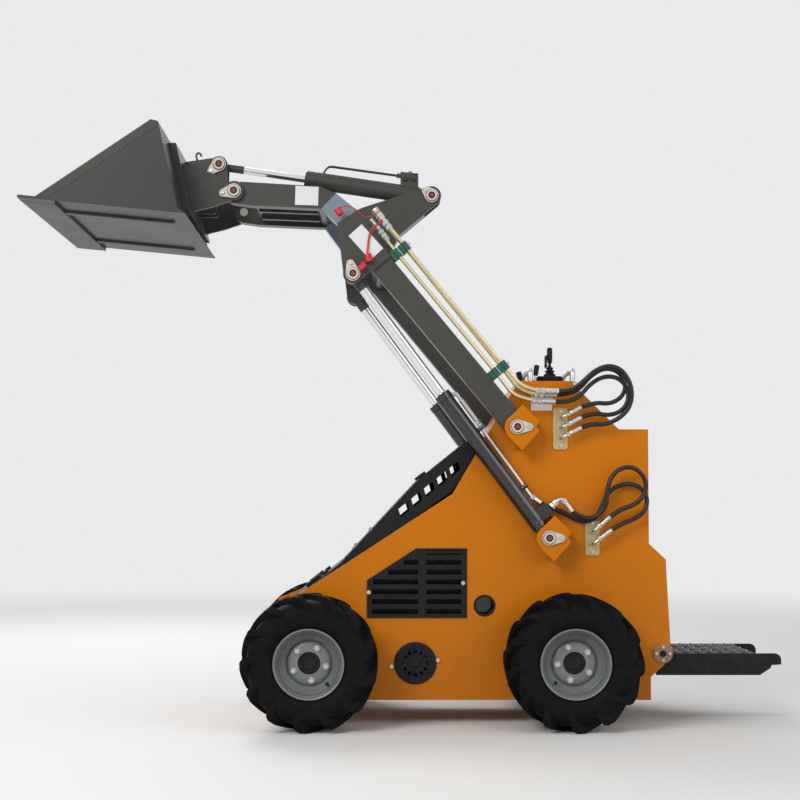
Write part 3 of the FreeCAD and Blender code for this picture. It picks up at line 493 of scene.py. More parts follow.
rimShape = {
    "face": [
        (107.5, -440), (107.5, -493), (109, -497), (117, -497.4), (119, -500), (119.4, -504), (118, -507.2),
        (115, -508),
        (112.4, -506.4), (111, -502), (108, -498), (104.5, -494), (103.4, -486), (102.6, -478),
        (99.6, -474.6),
        (98.6, -473), (97.4, -474), (95.6, -473), (94, -468), (88, -462), (80, -453.5), (77, -448.5),
        (76, -443.5),
        (74.6, -444), (73.6, -447.5), (71, -449.6), (60, -452), (44, -454), (38.6, -454.4), (37, -452.6),
        (37, -446),
        (60, -444), (76, -436), (90, -444), (96, -456), (99, -440),
    ],
    "barrel": [
        (107.5, -442), (90, -430), (89.5, -376), (107.5, -364), (107.5, -328), (118, -327), (119, -320),
        (114, -317),
        (103, -322), (102.6, -360), (84.7, -374), (84.7, -434), (99, -442),
    ],
    "bolts": 5, "boltCircle": 57.3, "boltFace": 452.5, "valveCircle": 91,
}


def buildRim(name, x, side, boltTurn, valveTurn):
    body, hub = "wheel_" + name, (x, tyreShape["radius"])

    def drawDish(build):
        for part in ("face", "barrel"):
            spinAround(build, [(r, -side * y) for r, y in rimShape[part]], hub, 96)

    def drawBolts(build):
        face = rimShape["boltFace"]
        for n in range(rimShape["bolts"]):
            at = onCircle(hub, rimShape["boltCircle"], math.radians(boltTurn + 360 / rimShape["bolts"] * n))
            addDisc(build, at, side * (face - 2), side * (face + 2.6), 11.5)
            addHexHead(build, at, side * (face + 2.4), 9.6, 8.5, side, n * 0.7)

    def drawCaps(build):
        addDisc(build, hub, side * 430, side * 446, 36.8, 1.5, 48)
        addDisc(build, hub, side * 444, side * 449, 23.0, 2.0, 36)
        at = onCircle(hub, rimShape["valveCircle"], math.radians(valveTurn))
        addDisc(build, at, side * 455, side * 468, 6.5, 1.5, 16)
        addDisc(build, at, side * 466, side * 486, 4.2, 1.0, 16)

    drawPiece("rim_dish_" + name, "rim_paint", body, drawDish, smooth=50, replaced="rim_" + name)
    drawPiece("wheel_bolts_" + name, "steel", body, drawBolts, smooth=30)
    drawPiece("hub_cap_" + name, "black_plastic", body, drawCaps, smooth=40)


for name, (x, side) in wheels.items():
    front = x < 0
    buildTyre(name, x, side, 7.0 if front else 16.0)
    buildRim(name, x, side, 62.0 if front else 40.0, -48.0 if front else 225.0)
print("wheels built")


# plates, frames and cast parts take the solids' own shapes with broken edges

pairedSkins = {
    # finish and the width of the broken edges
    "side_plate": ("body_paint", 1.2),
    "pin_brackets": ("body_paint", 3.4),
    "lift_arm": ("boom_paint", 5.0),
    "gooseneck": ("boom_paint", 1.4),
    # the flares take the lighter blue-grey flare_paint, which is painted sky reflection and painted light on
    # the boom's own dark steel
    "flare": ("flare_paint", 2.0),
    "front_limb": ("boom_paint", 4.0),
    "chassis_pins": ("flag_paint", 1.2),
    "boom_pins": ("flag_paint", 1.2),
    "platform_flange": ("copper_plate", 1.0),
    "vents": ("black_plastic", 1.0),
}
singleSkins = {
    "console": ("body_paint", 0),
    "floor_pan": ("body_paint", 1.5),
    "hood": ("black_plastic", 2.0),
    "cross_members": ("boom_paint", 1.4),
    "attachment": ("boom_paint", 1.4),
    "cutting_edge": ("worn_steel", 1.4),
}
for node, (finish, width) in pairedSkins.items():
    for sideName in sideNames.values():
        dressNode(node + "_" + sideName, finish, width)
for node, (finish, width) in singleSkins.items():
    dressNode(node, finish, width)
# the tilt rod's pin is turned about itself, so that its keeper plate points down and forward
dressNode("tilt_rod_pins", "flag_paint", 1.2, (pins["tiltRod"], 69.9))
print("plates dressed")


# cylinders

liftLine = {"y": 300.0, "barrel": 28.5, "rod": 17.5, "length": 617.0, "eye": 31.0, "half": 22.0}
tiltLine = {"barrel": 31.5, "rod": 12.5, "length": 460.0, "eye": 26.0, "half": 24.0}


def addEye(build, pin, y, radius, half):
    addDisc(build, pin, y - half, y + half, radius, 2.0, 40)


def buildLiftCylinder(side):
    name, y = sideNames[side], side * liftLine["y"]
    start, end = pins["liftBase"], pins["liftRod"]
    way = wayTo(start, end)
    reach = math.dist(start, end)
    barrelBody, rodBody = "lift_cylinder_barrel_" + name, "lift_cylinder_rod_" + name

    def at(distance, rise=0.0):
        return flat(beside(start, way, distance, rise), y)

    def drawBarrel(build):
        addEye(build, start, y, liftLine["eye"], liftLine["half"])
        addRod(build, at(20), at(60), 20.0, 1.0)
        length, r = liftLine["length"], liftLine["barrel"]
        # foot with its weld bead, tube, and the screwed gland at the top
        profile = [
            (0, r - 3), (2, r), (20, r), (20.5, r + 1.6), (24, r + 1.8), (26, r + 1.2), (27, r),
            (length - 72, r), (length - 71, r - 1.0), (length - 68, r - 1.0), (length - 67, r + 1.5),
            (length - 47, r + 1.5), (length - 45, r - 0.5), (length - 44, r - 4), (length - 42, r - 8),
            (length - 42, 18.2),
        ]
        turned(build, at(42), at(100), profile, 64)
        block = [beside(start, way, *place) for place in ((62, 20), (62, 66), (100, 66), (106, 58), (106, 20))]
        addSlab(build, block, y - 17, y + 17)
        for distance in (190, 440):
            addRod(build, at(distance, 26.0), at(distance, 50.0), 8.5, 1.0, 20)

    def drawLines(build):
        top = [at(590, 27.5), at(590, 42), (417.6, side * 297.1, 788.7), (438.2, side * 290.0, 774.6)]
        tubeAlong(build, rounded(top, 12.0), 6.0, 18)
        low = [(490, y, 754), (502, y, 766), (516, y, 778.5), (533, y, 775), (542, y, 761), (554, y, 741)]
        tubeAlong(build, rounded(low, 16.0), 6.6, 18)

    def drawFittings(build):
        for first, last, radius in (
            (at(590, 28.0), at(590, 36.0), 11.0), (at(470, 42), at(455, 42), 10.6),
            ((487.0, y, 751.0), (494.0, y, 758.0), 12.5), ((495.0, y, 759.0), (507.0, y, 770.5), 10.8),
            ((527.0, y, 775.5), (534.0, y, 767.5), 10.4),
            ((417.6, side * 297.1, 788.7), (428.0, side * 293.5, 781.6), 10.6),
        ):
            addNut(build, first, last, radius)
        for first, last, radius in (
            (at(560, 42), at(470, 42), 9.4), ((534.0, y, 768.0), (559.0, y, 735.0), 9.8),
            ((425.0, side * 294.6, 783.7), (452.0, side * 285.2, 765.2), 9.8),
        ):
            addFerrule(build, first, last, radius)

    def drawRod(build):
        addRod(build, at(liftLine["length"] - 80), at(reach - 42), liftLine["rod"], 0.6, 64)

    def drawRodEye(build):
        addEye(build, end, y, liftLine["eye"], liftLine["half"])
        addRod(build, at(reach - 62), at(reach - 20), 20.0, 2.5)

    drawPiece(
        "lift_barrel_tube_" + name, "black_paint", barrelBody, drawBarrel, replaced="lift_barrel_" + name,
    )
    drawPiece("lift_lines_" + name, "steel", barrelBody, drawLines, smooth=50)
    drawPiece("lift_fittings_" + name, "steel", barrelBody, drawFittings, smooth=32)
    drawPiece("lift_rod_bar_" + name, "chrome_rod", rodBody, drawRod, replaced="lift_rod_" + name)
    drawPiece("lift_rod_eye_" + name, "boom_paint", rodBody, drawRodEye)


for side in sideNames:
    buildLiftCylinder(side)


def buildTiltCylinder():
    start, end = pins["tiltBase"], pins["tiltRod"]
    way = wayTo(start, end)
    reach = math.dist(start, end)
    barrelBody, rodBody = "tilt_cylinder_barrel", "tilt_cylinder_rod"

    def at(distance):
        return flat(beside(start, way, distance), 0.0)

    def drawBarrel(build):
        addEye(build, start, 0.0, tiltLine["eye"], tiltLine["half"])
        addRod(build, at(18), at(60), 22.0, 1.0)
        length, r = tiltLine["length"] - 45, tiltLine["barrel"]
        profile = [
            (0, r - 3), (2, r), (12, r), (12.5, r + 1.5), (16, r + 1.6), (18, r), (length - 40, r),
            (length - 39, r - 1.2), (length - 36, r - 1.2), (length - 35, r), (length - 3, r),
            (length, r - 3),
            (length, 13.0),
        ]
        turned(build, at(45), at(100), profile, 64)

    def drawBlocks(build):
        addSlab(build, [(-26, 1892), (-27, 1956), (38, 1950), (38, 1884)], -20, 20)
        addSlab(build, [(-318, 1908), (-318, 1934), (-292, 1931), (-292, 1905)], -14, 14)

    def drawLine(build):
        line = [(-307, 0, 1920), (-306, 0, 1954), (-286, 0, 1979), (-30, 0, 1944), (-10, 0, 1944)]
        tubeAlong(build, rounded(line, 14.0), 4.5, 16)
        for first, last, radius in (
            ((-307, 0, 1926), (-306.6, 0, 1940), 8.5), ((-40, 0, 1945.4), (-26, 0, 1944), 8.5),
            ((-8, -18, 1930), (-8, -30, 1930), 9.0), ((20, -18, 1930), (20, -30, 1930), 9.0),
            ((6, 0, 1952), (6, 0, 1960), 9.5),
        ):
            addNut(build, first, last, radius)

    def drawRod(build):
        addRod(build, at(tiltLine["length"] - 110), at(reach - 86), tiltLine["rod"], 0.5, 56)

    def drawRodEye(build):
        addEye(build, end, 0.0, tiltLine["eye"], tiltLine["half"])
        addRod(build, at(reach - 88), at(reach - 18), 14.0, 2.0)

    drawPiece("tilt_barrel_tube", "boom_paint", barrelBody, drawBarrel, replaced="tilt_barrel")
    drawPiece("tilt_port_blocks", "boom_paint", barrelBody, drawBlocks, bevel=2.0)
    drawPiece("tilt_line", "black_paint", barrelBody, drawLine, smooth=40)
    drawPiece("tilt_rod_bar", "chrome_rod", rodBody, drawRod, replaced="tilt_rod")
    drawPiece("tilt_rod_eye", "boom_paint", rodBody, drawRodEye)


buildTiltCylinder()
print("cylinders built")


# pin flags, bolts and vents

flags = {
    # way to the tip, how far out the plate's face lies, body, and whether both sides have one
    "boom": ((45, 0), 346.0, "chassis", True),
    "liftBase": ((45, 0), 346.0, "chassis", True),
    "liftRod": ((-10, 38), 344.0, "boom", True),
    "bucket": ((-42, -9), 256.0, "boom", True),
    "tiltBase": ((-25, 21), 51.0, "boom", False),
    "tiltRod": ((-31, -27), 51.0, "bucket_unit", False),
}
flagShape = {"big": 25.0, "small": 13.0, "reach": 0.9, "steps": 24}


def flagOutline(pin, tip):
    # a round end about the pin, drawn in to a small one at the bolt
    big, small, steps = flagShape["big"], flagShape["small"], flagShape["steps"]
    heading = math.atan2(tip[1] - pin[1], tip[0] - pin[0])
    lean = math.acos((big - small) / math.dist(pin, tip))
    outline = []
    for centre, radius, first, last in (
        (pin, big, heading + lean, heading + 2 * math.pi - lean),
        (tip, small, heading - lean, heading + lean),
    ):
        outline += [onCircle(centre, radius, first + (last - first) * k / steps) for k in range(steps + 1)]
    return outline


def buildFlagDetail(name, side):
    towards, outer, body, _ = flags[name]
    pin = pins[name]
    tip = (pin[0] + towards[0] * flagShape["reach"], pin[1] + towards[1] * flagShape["reach"])
    label = name + "_" + sideNames[side]

    def out(distance):
        return side * (outer + distance)

    def drawPlate(build):
        addSlab(build, flagOutline(pin, tip), out(-2.0), out(1.4))
        # the pin's own end stands out of the plate as a ring
        ring = [(19.5, 0.0), (19.5, 7.2), (18.0, 8.4), (13.6, 8.4), (12.2, 7.2), (12.2, 0.0)]
        spinAround(build, [(r, out(distance)) for r, distance in ring], pin, 44)

    def drawBolt(build):
        addDisc(build, tip, out(1.0), out(2.8), 8.4, 0.5, 24)
        addHexHead(build, tip, out(2.6), 6.6, 4.6, side, 0.4)

    def drawPinShadeDiscs(build):
        # black discs as painted shade: a dark floor inside the pin's raised ring, and a dark outline around
        # the ring as its painted shadow
        addDisc(build, pin, out(5.0), out(6.5), 12.4, 0.2, 32)
        addDisc(build, pin, out(1.2), out(2.0), 21.4, 0.3, 40)

    def drawCap(build):
        addDisc(build, pin, out(6.0), out(8.0), 8.0, 1.0, 28)
        addDisc(build, pin, out(7.8), out(9.4), 3.6, 0.7, 16)

    drawPiece("pin_plate_" + label, "flag_paint", body, drawPlate, bevel=0.6, smooth=40)
    drawPiece("pin_bolt_" + label, "steel", body, drawBolt, smooth=32)
    drawPiece("pin_painted_shade_" + label, "black_plastic", body, drawPinShadeDiscs, smooth=40)
    drawPiece("pin_grease_cap_" + label, "rust_cap", body, drawCap, smooth=40)


for name in flags:
    buildFlagDetail(name, -1)
    if flags[name][3]:
        buildFlagDetail(name, 1)

sideShape = {
    "screws": ((-139, 456), (187, 488), (-60, 200), (100, 222)), "hingeScrews": 4, "toolHole": (261.0, 410.0),
    "vent": (22.0, 212.0), "spokes": 16, "slats": 7, "slatFoot": 382, "slatPitch": 34.0, "ventLeft": -127,
    # the louvred vent's left edge leans from this height on
    "leanFrom": 498, "lean": 1.55, "narrowest": 16,
    "hole": [(31.0, -6), (31.0, 0.4), (33.4, 2.4), (36.5, 2.4), (38.0, 0.3), (38.0, -1)],
    "cover": [(56.0, 3), (56.0, 5.6), (59.0, 6.4), (70.0, 6.4), (73.0, 4.6), (73.0, 0.4)],
    # a slat's section as height and distance out of the plate
    "slat": [(14, 1.0), (17.5, 5.6), (19.5, 5.2), (3, -14), (0, -14)],
}


def buildSideDetail(side):
    name = sideNames[side]

    def out(distance):
        return side * (plateFace + distance)

    def drawScrews(build):
        for place in sideShape["screws"]:
            addDisc(build, place, out(3.5), out(6.5), 7.5, 1.2, 20)
        for k in range(sideShape["hingeScrews"]):
            turn = 2 * math.pi * k / sideShape["hingeScrews"]
            addHexHead(build, onCircle(pins["platform"], 23, turn), out(4.6), 6.4, 5.0, side, k * 0.5)

    def drawVentCover(build):
        spinAround(
            build, [(r, out(distance)) for r, distance in sideShape["hole"]], sideShape["toolHole"], 48,
        )
        vent, spokes = sideShape["vent"], sideShape["spokes"]
        for k in range(spokes):
            first, last = (flat(onCircle(vent, r, 2 * math.pi * k / spokes), out(4.0)) for r in (22, 60))
            addRod(build, first, last, 1.6, 0.4, 8)
        spinAround(build, [(r, out(distance)) for r, distance in sideShape["cover"]], vent, 72)
        addDisc(build, vent, out(3), out(9), 15.0, 2.0, 32)

    def drawSlats(build):
        narrowest, ventLeft = sideShape["narrowest"], sideShape["ventLeft"]
        for n in range(sideShape["slats"]):
            z = sideShape["slatFoot"] + sideShape["slatPitch"] * n
            left = max(ventLeft, ventLeft + (z + 16 - sideShape["leanFrom"]) * sideShape["lean"])
            for x0, x1 in ((left, 32.0), (60.0, 180.0)):
                if x1 - x0 >= narrowest:
                    section = [(out(distance), z + up) for up, distance in sideShape["slat"]]
                    loftRings(build, [[(x, *place) for place in section] for x in (x0, x1)])
        # a thin black strip laid over the top slot of the right row: painted shade in that opening
        addBox(build, 59, 181, out(0), out(0.6), 590, 604)

    def drawBoreShade(build):
        # a black disc standing for the dark inside of the bore at the platform's pin: painted shade
        addDisc(build, pins["platform"], out(5.0), out(8.2), 11.4, 0.4, 32)

    drawPiece("side_screws_" + name, "steel", "chassis", drawScrews, smooth=32)
    drawPiece("round_vent_grille_" + name, "black_plastic", "chassis", drawVentCover, smooth=40)
    drawPiece("vent_slats_" + name, "black_plastic", "chassis", drawSlats, bevel=0.5)
    drawPiece("platform_bore_shade_" + name, "black_plastic", "chassis", drawBoreShade, smooth=40)


for side in sideNames:
    buildSideDetail(side)
print("pins and vents built")


# hoses

hoseLines = {
    # control points in metres, the tube's own length, the body at each end, and the stretch from the start on
    # along which the second body takes over from the first
    "hose_upper_outer": {
        "length": 0.543, "bodies": ("boom", "chassis"), "end": (0.080, 0, 0),
        "points": [
            (0.5123, -0.312, 1.147), (0.545, -0.312, 1.146), (0.59, -0.3165, 1.176), (0.63, -0.32, 1.216),
            (0.678, -0.3211, 1.236), (0.722, -0.32, 1.224), (0.752, -0.3185, 1.185), (0.764, -0.3155, 1.135),
            (0.752, -0.311, 1.086), (0.715, -0.306, 1.051), (0.668, -0.3015, 1.033), (0.625, -0.299, 1.036),
            (0.59, -0.299, 1.023),
        ],
    },
    "hose_upper_middle": {
        "length": 0.556, "bodies": ("boom", "chassis"), "end": (0.092, 0, 0),
        "points": [
            (0.5003, -0.312, 1.111), (0.545, -0.312, 1.109), (0.588, -0.3045, 1.134), (0.62, -0.299, 1.172),
            (0.664, -0.297, 1.199), (0.712, -0.296, 1.198), (0.747, -0.2957, 1.167), (0.755, -0.2961, 1.12),
            (0.73, -0.2974, 1.08), (0.685, -0.2991, 1.064), (0.632, -0.299, 1.075), (0.59, -0.299, 1.058),
        ],
    },
    "hose_upper_inner": {
        "length": 0.517, "bodies": ("boom", "chassis"), "end": (0.084, 0, 0),
        "points": [
            (0.508, -0.288, 1.137), (0.545, -0.288, 1.139), (0.588, -0.28, 1.158), (0.624, -0.275, 1.202),
            (0.672, -0.274, 1.231), (0.722, -0.275, 1.219), (0.748, -0.28, 1.176), (0.734, -0.286, 1.13),
            (0.69, -0.294, 1.104), (0.634, -0.299, 1.11), (0.59, -0.299, 1.093),
        ],
    },
    "hose_lower_outer": {
        "length": 0.610, "bodies": ("lift_cylinder_barrel", "chassis"), "end": (0.095, 0, 0),
        "points": [
            (0.556, -0.3, 0.738), (0.591, -0.3, 0.712), (0.641, -0.304, 0.714), (0.6745, -0.3095, 0.754),
            (0.676, -0.313, 0.807), (0.693, -0.3136, 0.861), (0.735, -0.313, 0.89), (0.781, -0.3115, 0.8825),
            (0.812, -0.3095, 0.843), (0.809, -0.3075, 0.795), (0.772, -0.3035, 0.757), (0.725, -0.3, 0.744),
            (0.6895, -0.299, 0.7168),
        ],
    },
    "hose_lower_inner": {
        "length": 0.671, "bodies": ("lift_cylinder_barrel", "chassis"), "end": (0.162, 0, 0),
        "points": [
            (0.4384, -0.2899, 0.7744), (0.475, -0.278, 0.752), (0.524, -0.274, 0.736), (0.572, -0.274, 0.709),
            (0.614, -0.274, 0.699), (0.648, -0.275, 0.717), (0.666, -0.277, 0.758), (0.681, -0.278, 0.797),
            (0.714, -0.279, 0.823), (0.761, -0.282, 0.833), (0.803, -0.286, 0.815), (0.821, -0.291, 0.773),
            (0.806, -0.295, 0.73), (0.764, -0.298, 0.706), (0.722, -0.299, 0.69), (0.6946, -0.299, 0.6723),
        ],
    },
}
hoseWidth = 0.0155  # in metres


def splinePlaces(points):
    # the smooth line that a spline makes of its control points
    curve = bpy.data.curves.new("line", "CURVE")
    curve.dimensions = "3D"
    spline = curve.splines.new("NURBS")
    spline.points.add(len(points) - 1)
    for control, place in zip(spline.points, points):
        control.co = (*place, 1.0)
    spline.order_u = 3
    spline.use_endpoint_u = True
    spline.resolution_u = 10
    line = bpy.data.objects.new("line", curve)
    mesh = bpy.data.meshes.new_from_object(line)
    places = [v.co.copy() for v in mesh.vertices]
    bpy.data.objects.remove(line)
    bpy.data.curves.remove(curve)
    bpy.data.meshes.remove(mesh)
    return places


def buildHose(name, hose, side, paired):
    sideName = sideNames[side]
    node = name + "_" + sideName if paired else name
    points = [(x, y * -side, z) for x, y, z in hose["points"]]
    places = splinePlaces(points)
    build = bmesh.new()
    tubeAlong(build, [p * 1000 for p in places], hoseWidth * 1000 / 2, 20)
    mesh = meshFrom(node + "_tube", build, 60)
    mesh.materials.append(materials["hose_rubber"])
    piece = bpy.data.objects.new(node + "_tube", mesh)
    bpy.context.scene.collection.objects.link(piece)
    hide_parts(node)
    first, second = hose["bodies"]
    if paired:
        first = first + "_" + sideName
    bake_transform(piece)


for name, hose in hoseLines.items():
    paired = name.startswith("hose_lower")
    for side in (sideNames if paired else (-1,)):
        buildHose(name, hose, side, paired)
print("hoses built")


# tubes on the arm, with their clamps and couplers

armTubes = {
    "routes": {
        "outer": [
            (-63.8, -312, 1704.7), (333.9, -312, 1224), (380, -312, 1169), (435, -312, 1149.4),
            (512, -312, 1147),
        ],
        "middle": [
            (-76, -312, 1661), (310.6, -312, 1194.9), (354, -312, 1136), (421, -312, 1115),
            (500, -312, 1111),
        ],
        "inner": [
            (-63.8, -288, 1704.7), (328, -288, 1219), (372, -288, 1160), (425, -288, 1137),
            (508, -288, 1135),
        ],
    },
    # clamps are so far along the arm, whose line from the boom's pin rises forward at this angle
    "radius": 6.6, "bend": 48.0, "clamps": (719.0, 190.0), "clampY": (-322, -276),
    "angle": math.radians(50.3),
}


armWay = (-math.cos(armTubes["angle"]), math.sin(armTubes["angle"]))
neckWay = Vector((0.6388, 0, -0.7693))


def clampOutline(middle, half, low, high):
    corners = ((middle - half, low), (middle + half, low), (middle + half, high), (middle - half, high))
    return [beside(pins["boom"], armWay, *corner) for corner in corners]


def drawTubes(build):
    for route in armTubes["routes"].values():
        tubeAlong(build, rounded(route, armTubes["bend"], 10), armTubes["radius"], 24)


def drawTubeEnds(build):
    for route in armTubes["routes"].values():
        last = Vector(route[-1])
        back = (Vector(route[-2]) - last).normalized()
        addNut(build, last + back * 79, last + back * 66, 10.5)
        addRod(build, last + back * 66, last + back * 62, 8.0, 0.6, 20)
        addNut(build, last + back * 62, last + back * 46, 11.2)
        addFerrule(build, last + back * 44, last, 9.6)


def drawClampBlocks(build):
    for middle in armTubes["clamps"]:
        for low, high in ((39.5, 56), (57, 74), (79, 95), (96, 112)):
            addSlab(build, clampOutline(middle, 17, low, high), *armTubes["clampY"])


def drawClampPlates(build):
    y0, y1 = armTubes["clampY"]
    for middle in armTubes["clamps"]:
        for low, high in ((74.6, 77.4), (112.4, 115.4)):
            addSlab(build, clampOutline(middle, 16, low, high), y0 + 1, y1 - 1)
        for y in (y0 + 5.5, y1 - 5.5):
            foot, seat, head, top = (
                flat(beside(pins["boom"], armWay, middle, rise), y) for rise in (114.5, 116.0, 116.5, 121.0)
            )
            addRod(build, foot, head, 6.2, 0.4, 16)
            addNut(build, seat, top, 5.6)


couplers = {
    # outlines along the coupler as distance and radius
    "sleeve": [
        (0, 9.5), (1.5, 11.5), (4, 12.6), (9, 12.6), (10, 11.6), (13, 11.6), (14, 12.8), (34, 12.8),
        (35, 11.4),
        (38, 11.4), (39, 12.2), (45, 12.2), (46, 8.8), (56, 8.8),
    ],
    "slim": [
        (0, 5.5), (1.0, 7.2), (26, 7.2), (27, 6.0), (31, 6.0), (32, 9.6), (44, 9.6), (45, 6.6), (50, 6.6),
    ],
    "bore": [(1.0, 4.6), (30, 4.6), (95, 5.4)],
    # top, outline, nuts as start, end and radius, and the scale of the outline's radii
    "places": (
        ((-120.5, -312, 1771.7), "sleeve", ((55, 68, 11.4), (72, 87, 10.6)), 1.0),
        ((-120.5, -288.2, 1771.7), "sleeve", ((55, 68, 10.2), (72, 87, 9.4)), 0.84),
        ((-131.5, -312, 1735.2), "slim", ((49, 61, 11.0), (64, 78, 10.2), (80, 90, 9.0)), 1.0),
    ),
}


def drawCouplers(build):
    for top, outline, nuts, scale in couplers["places"]:
        first = Vector(top)
        turned(build, first, first + neckWay, [(d, r * scale) for d, r in couplers[outline]], 36)
        turned(build, first, first + neckWay, couplers["bore"], 20)
        for low, high, radius in nuts:
            addNut(build, first + neckWay * low, first + neckWay * high, radius)


drawPiece("arm_tube_lines", "zinc", "boom", drawTubes, smooth=60, replaced="arm_tubes")
drawPiece("tube_hose_ends", "steel", "boom", drawTubeEnds, smooth=32)
drawPiece("tube_clamp_blocks", "green_plastic", "boom", drawClampBlocks, bevel=1.6, replaced="tube_fittings")
drawPiece("tube_clamp_plates", "steel", "boom", drawClampPlates, bevel=0.5)
drawPiece("quick_couplers", "steel", "boom", drawCouplers, smooth=32)

coupCaps = {
    # place of the open end, the way to the closed end, radius and length
    "front": ((-246, -352, 1764), (0.55, -0.1, -0.8), 13.5, 25.0),
    "middle": ((-142, -352, 1609), (0.22, -0.12, -0.96), 14.0, 26.0),
    "rear": ((-153, -354, 1577), (-0.62, -0.1, -0.76), 12.5, 24.0),
}


def drawCaps(build):
    for place, way, radius, length in coupCaps.values():
        first = Vector(place)
        last = first + Vector(way).normalized() * length
        profile = [
            (0, radius - 2.4), (0, radius - 0.4), (0.6, radius), (4, radius), (4.8, radius - 1.2),
            (length * 0.55, radius - 1.5),
            (length * 0.6, radius - 0.6), (length - 3, radius - 0.8), (length - 0.8, radius - 2.0),
            (length, radius - 4.2),
        ]
        turned(build, first, last, profile, 36)


drawPiece("coupler_caps", "red_plastic", "boom", drawCaps, smooth=40)

capStraps = [
    # places along each strap, in millimetres
    [
        (-240, -345, 1768), (-228, -344, 1772), (-214, -343, 1775), (-196, -342, 1772), (-180, -341, 1764),
        (-166, -342, 1748), (-150, -334, 1737), (-128, -326, 1741), (-112, -322, 1752),
    ],
    [
        (-141, -350, 1611), (-140, -345, 1632), (-138, -344, 1655), (-132, -343, 1678), (-124, -342, 1694),
        (-112, -336, 1705), (-104, -328, 1715), (-98, -324, 1730),
    ],
    [
        (-151, -350, 1580), (-147, -346, 1603), (-143, -344, 1630), (-141, -343, 1658), (-136, -343, 1684),
        (-128, -342, 1700), (-118, -330, 1712), (-113, -323, 1716),
    ],
]


def drawStraps(build):
    for strap in capStraps:
        places = splinePlaces([(x / 1000, y / 1000, z / 1000) for x, y, z in strap])
        tubeAlong(build, [p * 1000 for p in places], 1.7, 10)
    for centre in ((-110.0, 1759.0), (-101.0, 1726.0)):
        first = Vector(flat(centre, -312))
        turned(build, first, first + neckWay, [(0, 12.0), (0.4, 13.8), (4.6, 13.8), (5, 12.0)], 28)


drawPiece("cap_straps", "red_plastic", "boom", drawStraps, smooth=60)
print("arm tubes built")


# hose plates on the sides

hosePlates = {
    # the plate's edges, its screws, and for each port its place and the hose's start
    "upper": {
        "sides": (-1,), "box": (497.0, 548.0, 949.0, 1093.0), "screws": ((524.0, 1081.0), (524.0, 961.0)),
        "ports": (
            ((524.0, 988.5), (590.0, 1023.0)), ((524.0, 1023.5), (590.0, 1058.0)),
            ((524.0, 1058.5), (590.0, 1093.0)),
        ),
    },
    "lower": {
        "sides": (-1, 1), "box": (608.0, 658.5, 583.0, 703.5), "screws": ((634.0, 694.0), (634.0, 594.0)),
        "ports": (((632.0, 667.0), (689.5, 716.8)), ((632.0, 624.0), (694.6, 672.3))),
    },
}
elbowShape = {
    "y": 299, "bend": 15.0, "radius": 4.8,
    "seat": [(5.6, 263), (5.6, 266.4), (7.2, 267.6), (9.6, 267.6), (10.6, 266.4), (10.6, 263)],
}


def roundedBox(x0, x1, z0, z1, radius, steps=5):
    outline = []
    for corner, first in (
        ((x0 + radius, z0 + radius), 180), ((x1 - radius, z0 + radius), 270), ((x1 - radius, z1 - radius), 0),
        ((x0 + radius, z1 - radius), 90),
    ):
        outline += [onCircle(corner, radius, math.radians(first + 90 * k / steps)) for k in range(steps + 1)]
    return outline


def eachHosePlate():
    return [(plate, side) for plate in hosePlates.values() for side in plate["sides"]]


def drawPlateSheets(build):
    for plate, side in eachHosePlate():
        addSlab(build, roundedBox(*plate["box"], 9.0), side * plateFace, side * (plateFace + 5))


def drawElbows(build):
    for plate, side in eachHosePlate():
        for centre in plate["screws"]:
            addDisc(build, centre, side * 263.0, side * 265.2, 6.8, 0.6, 20)
            addHexHead(build, centre, side * 265.0, 5.4, 3.4, side, 0.3)
        for port, end in plate["ports"]:
            spinAround(build, [(r, side * y) for r, y in elbowShape["seat"]], port, 28)
            knee, last = (Vector(flat(place, side * elbowShape["y"])) for place in (port, end))
            way = (last - knee).normalized()
            line = rounded([flat(port, side * 262), knee, last - way * 38], elbowShape["bend"], 8)
            tubeAlong(build, line, elbowShape["radius"], 16)
            addFerrule(build, last - way * 42, last + way, 9.0)
            addNut(build, last - way * 54, last - way * 43, 9.0)


def drawPortSeals(build):
    for plate, side in eachHosePlate():
        for port, _ in plate["ports"]:
            addDisc(build, port, side * 262.6, side * 263.9, 7.4, 0.3, 20)


drawPiece(
    "hose_plate_sheets", "zinc_plate", "chassis", drawPlateSheets, bevel=0.9, smooth=40,
    replaced="hose_plates",
)
drawPiece("plate_elbows", "steel", "chassis", drawElbows, smooth=32)
drawPiece("plate_port_seals", "black_plastic", "chassis", drawPortSeals, smooth=40)
print("hose plates built")


# controls on the console

controlShape = {
    "stick": (512.0, 0.0), "base": (452.0, 549.0, 95.0, 1215.0),
    # height and radius up the boot, from its foot
    "boot": [
        (1213, 27), (1216, 27), (1219, 23), (1224, 21.5), (1227.5, 22.5), (1230, 16), (1234, 13),
        (1237, 17.5), (1240, 18),
        (1242.5, 13), (1246, 10), (1249, 13), (1252, 13.5), (1254, 8), (1258, 5.0), (1270, 4.6),
    ],
    "grip": [
        (1268, 6.5), (1269, 8.2), (1278, 9.4), (1284, 9.8), (1300, 9.9), (1316, 9.8), (1321, 9.0),
        (1324, 6.5), (1325, 3.0),
    ],
    "rails": ((428.0, 150.0), (577.0, 150.0)), "railRadius": 10.0, "railTop": 1232.0, "top": 1186.0,
}


def drawStick(build):
    x, y = controlShape["stick"]
    for part in ("boot", "grip"):
        profile = [(z - 1200, r) for z, r in controlShape[part]]
        turned(build, (x, y, 1200), (x, y, 1400), profile, 40)
    x0, x1, half, top = controlShape["base"]
    addSlab(
        build, [(x0, 1186.2), (x1, 1186.2), (x1, top - 6), (x1 - 8, top), (x0 + 10, top), (x0, top - 8)],
        -half, half,
    )
    for y0 in (-24, 16):
        addBox(build, x - 16.5, x - 12.0, y0, y0 + 8, 1252, 1296)
    addBox(build, x - 18.5, x - 8.0, -9, 9, 1256, 1262)


drawPiece("joystick", "black_plastic", "chassis", drawStick, bevel=0.8, replaced="controls")


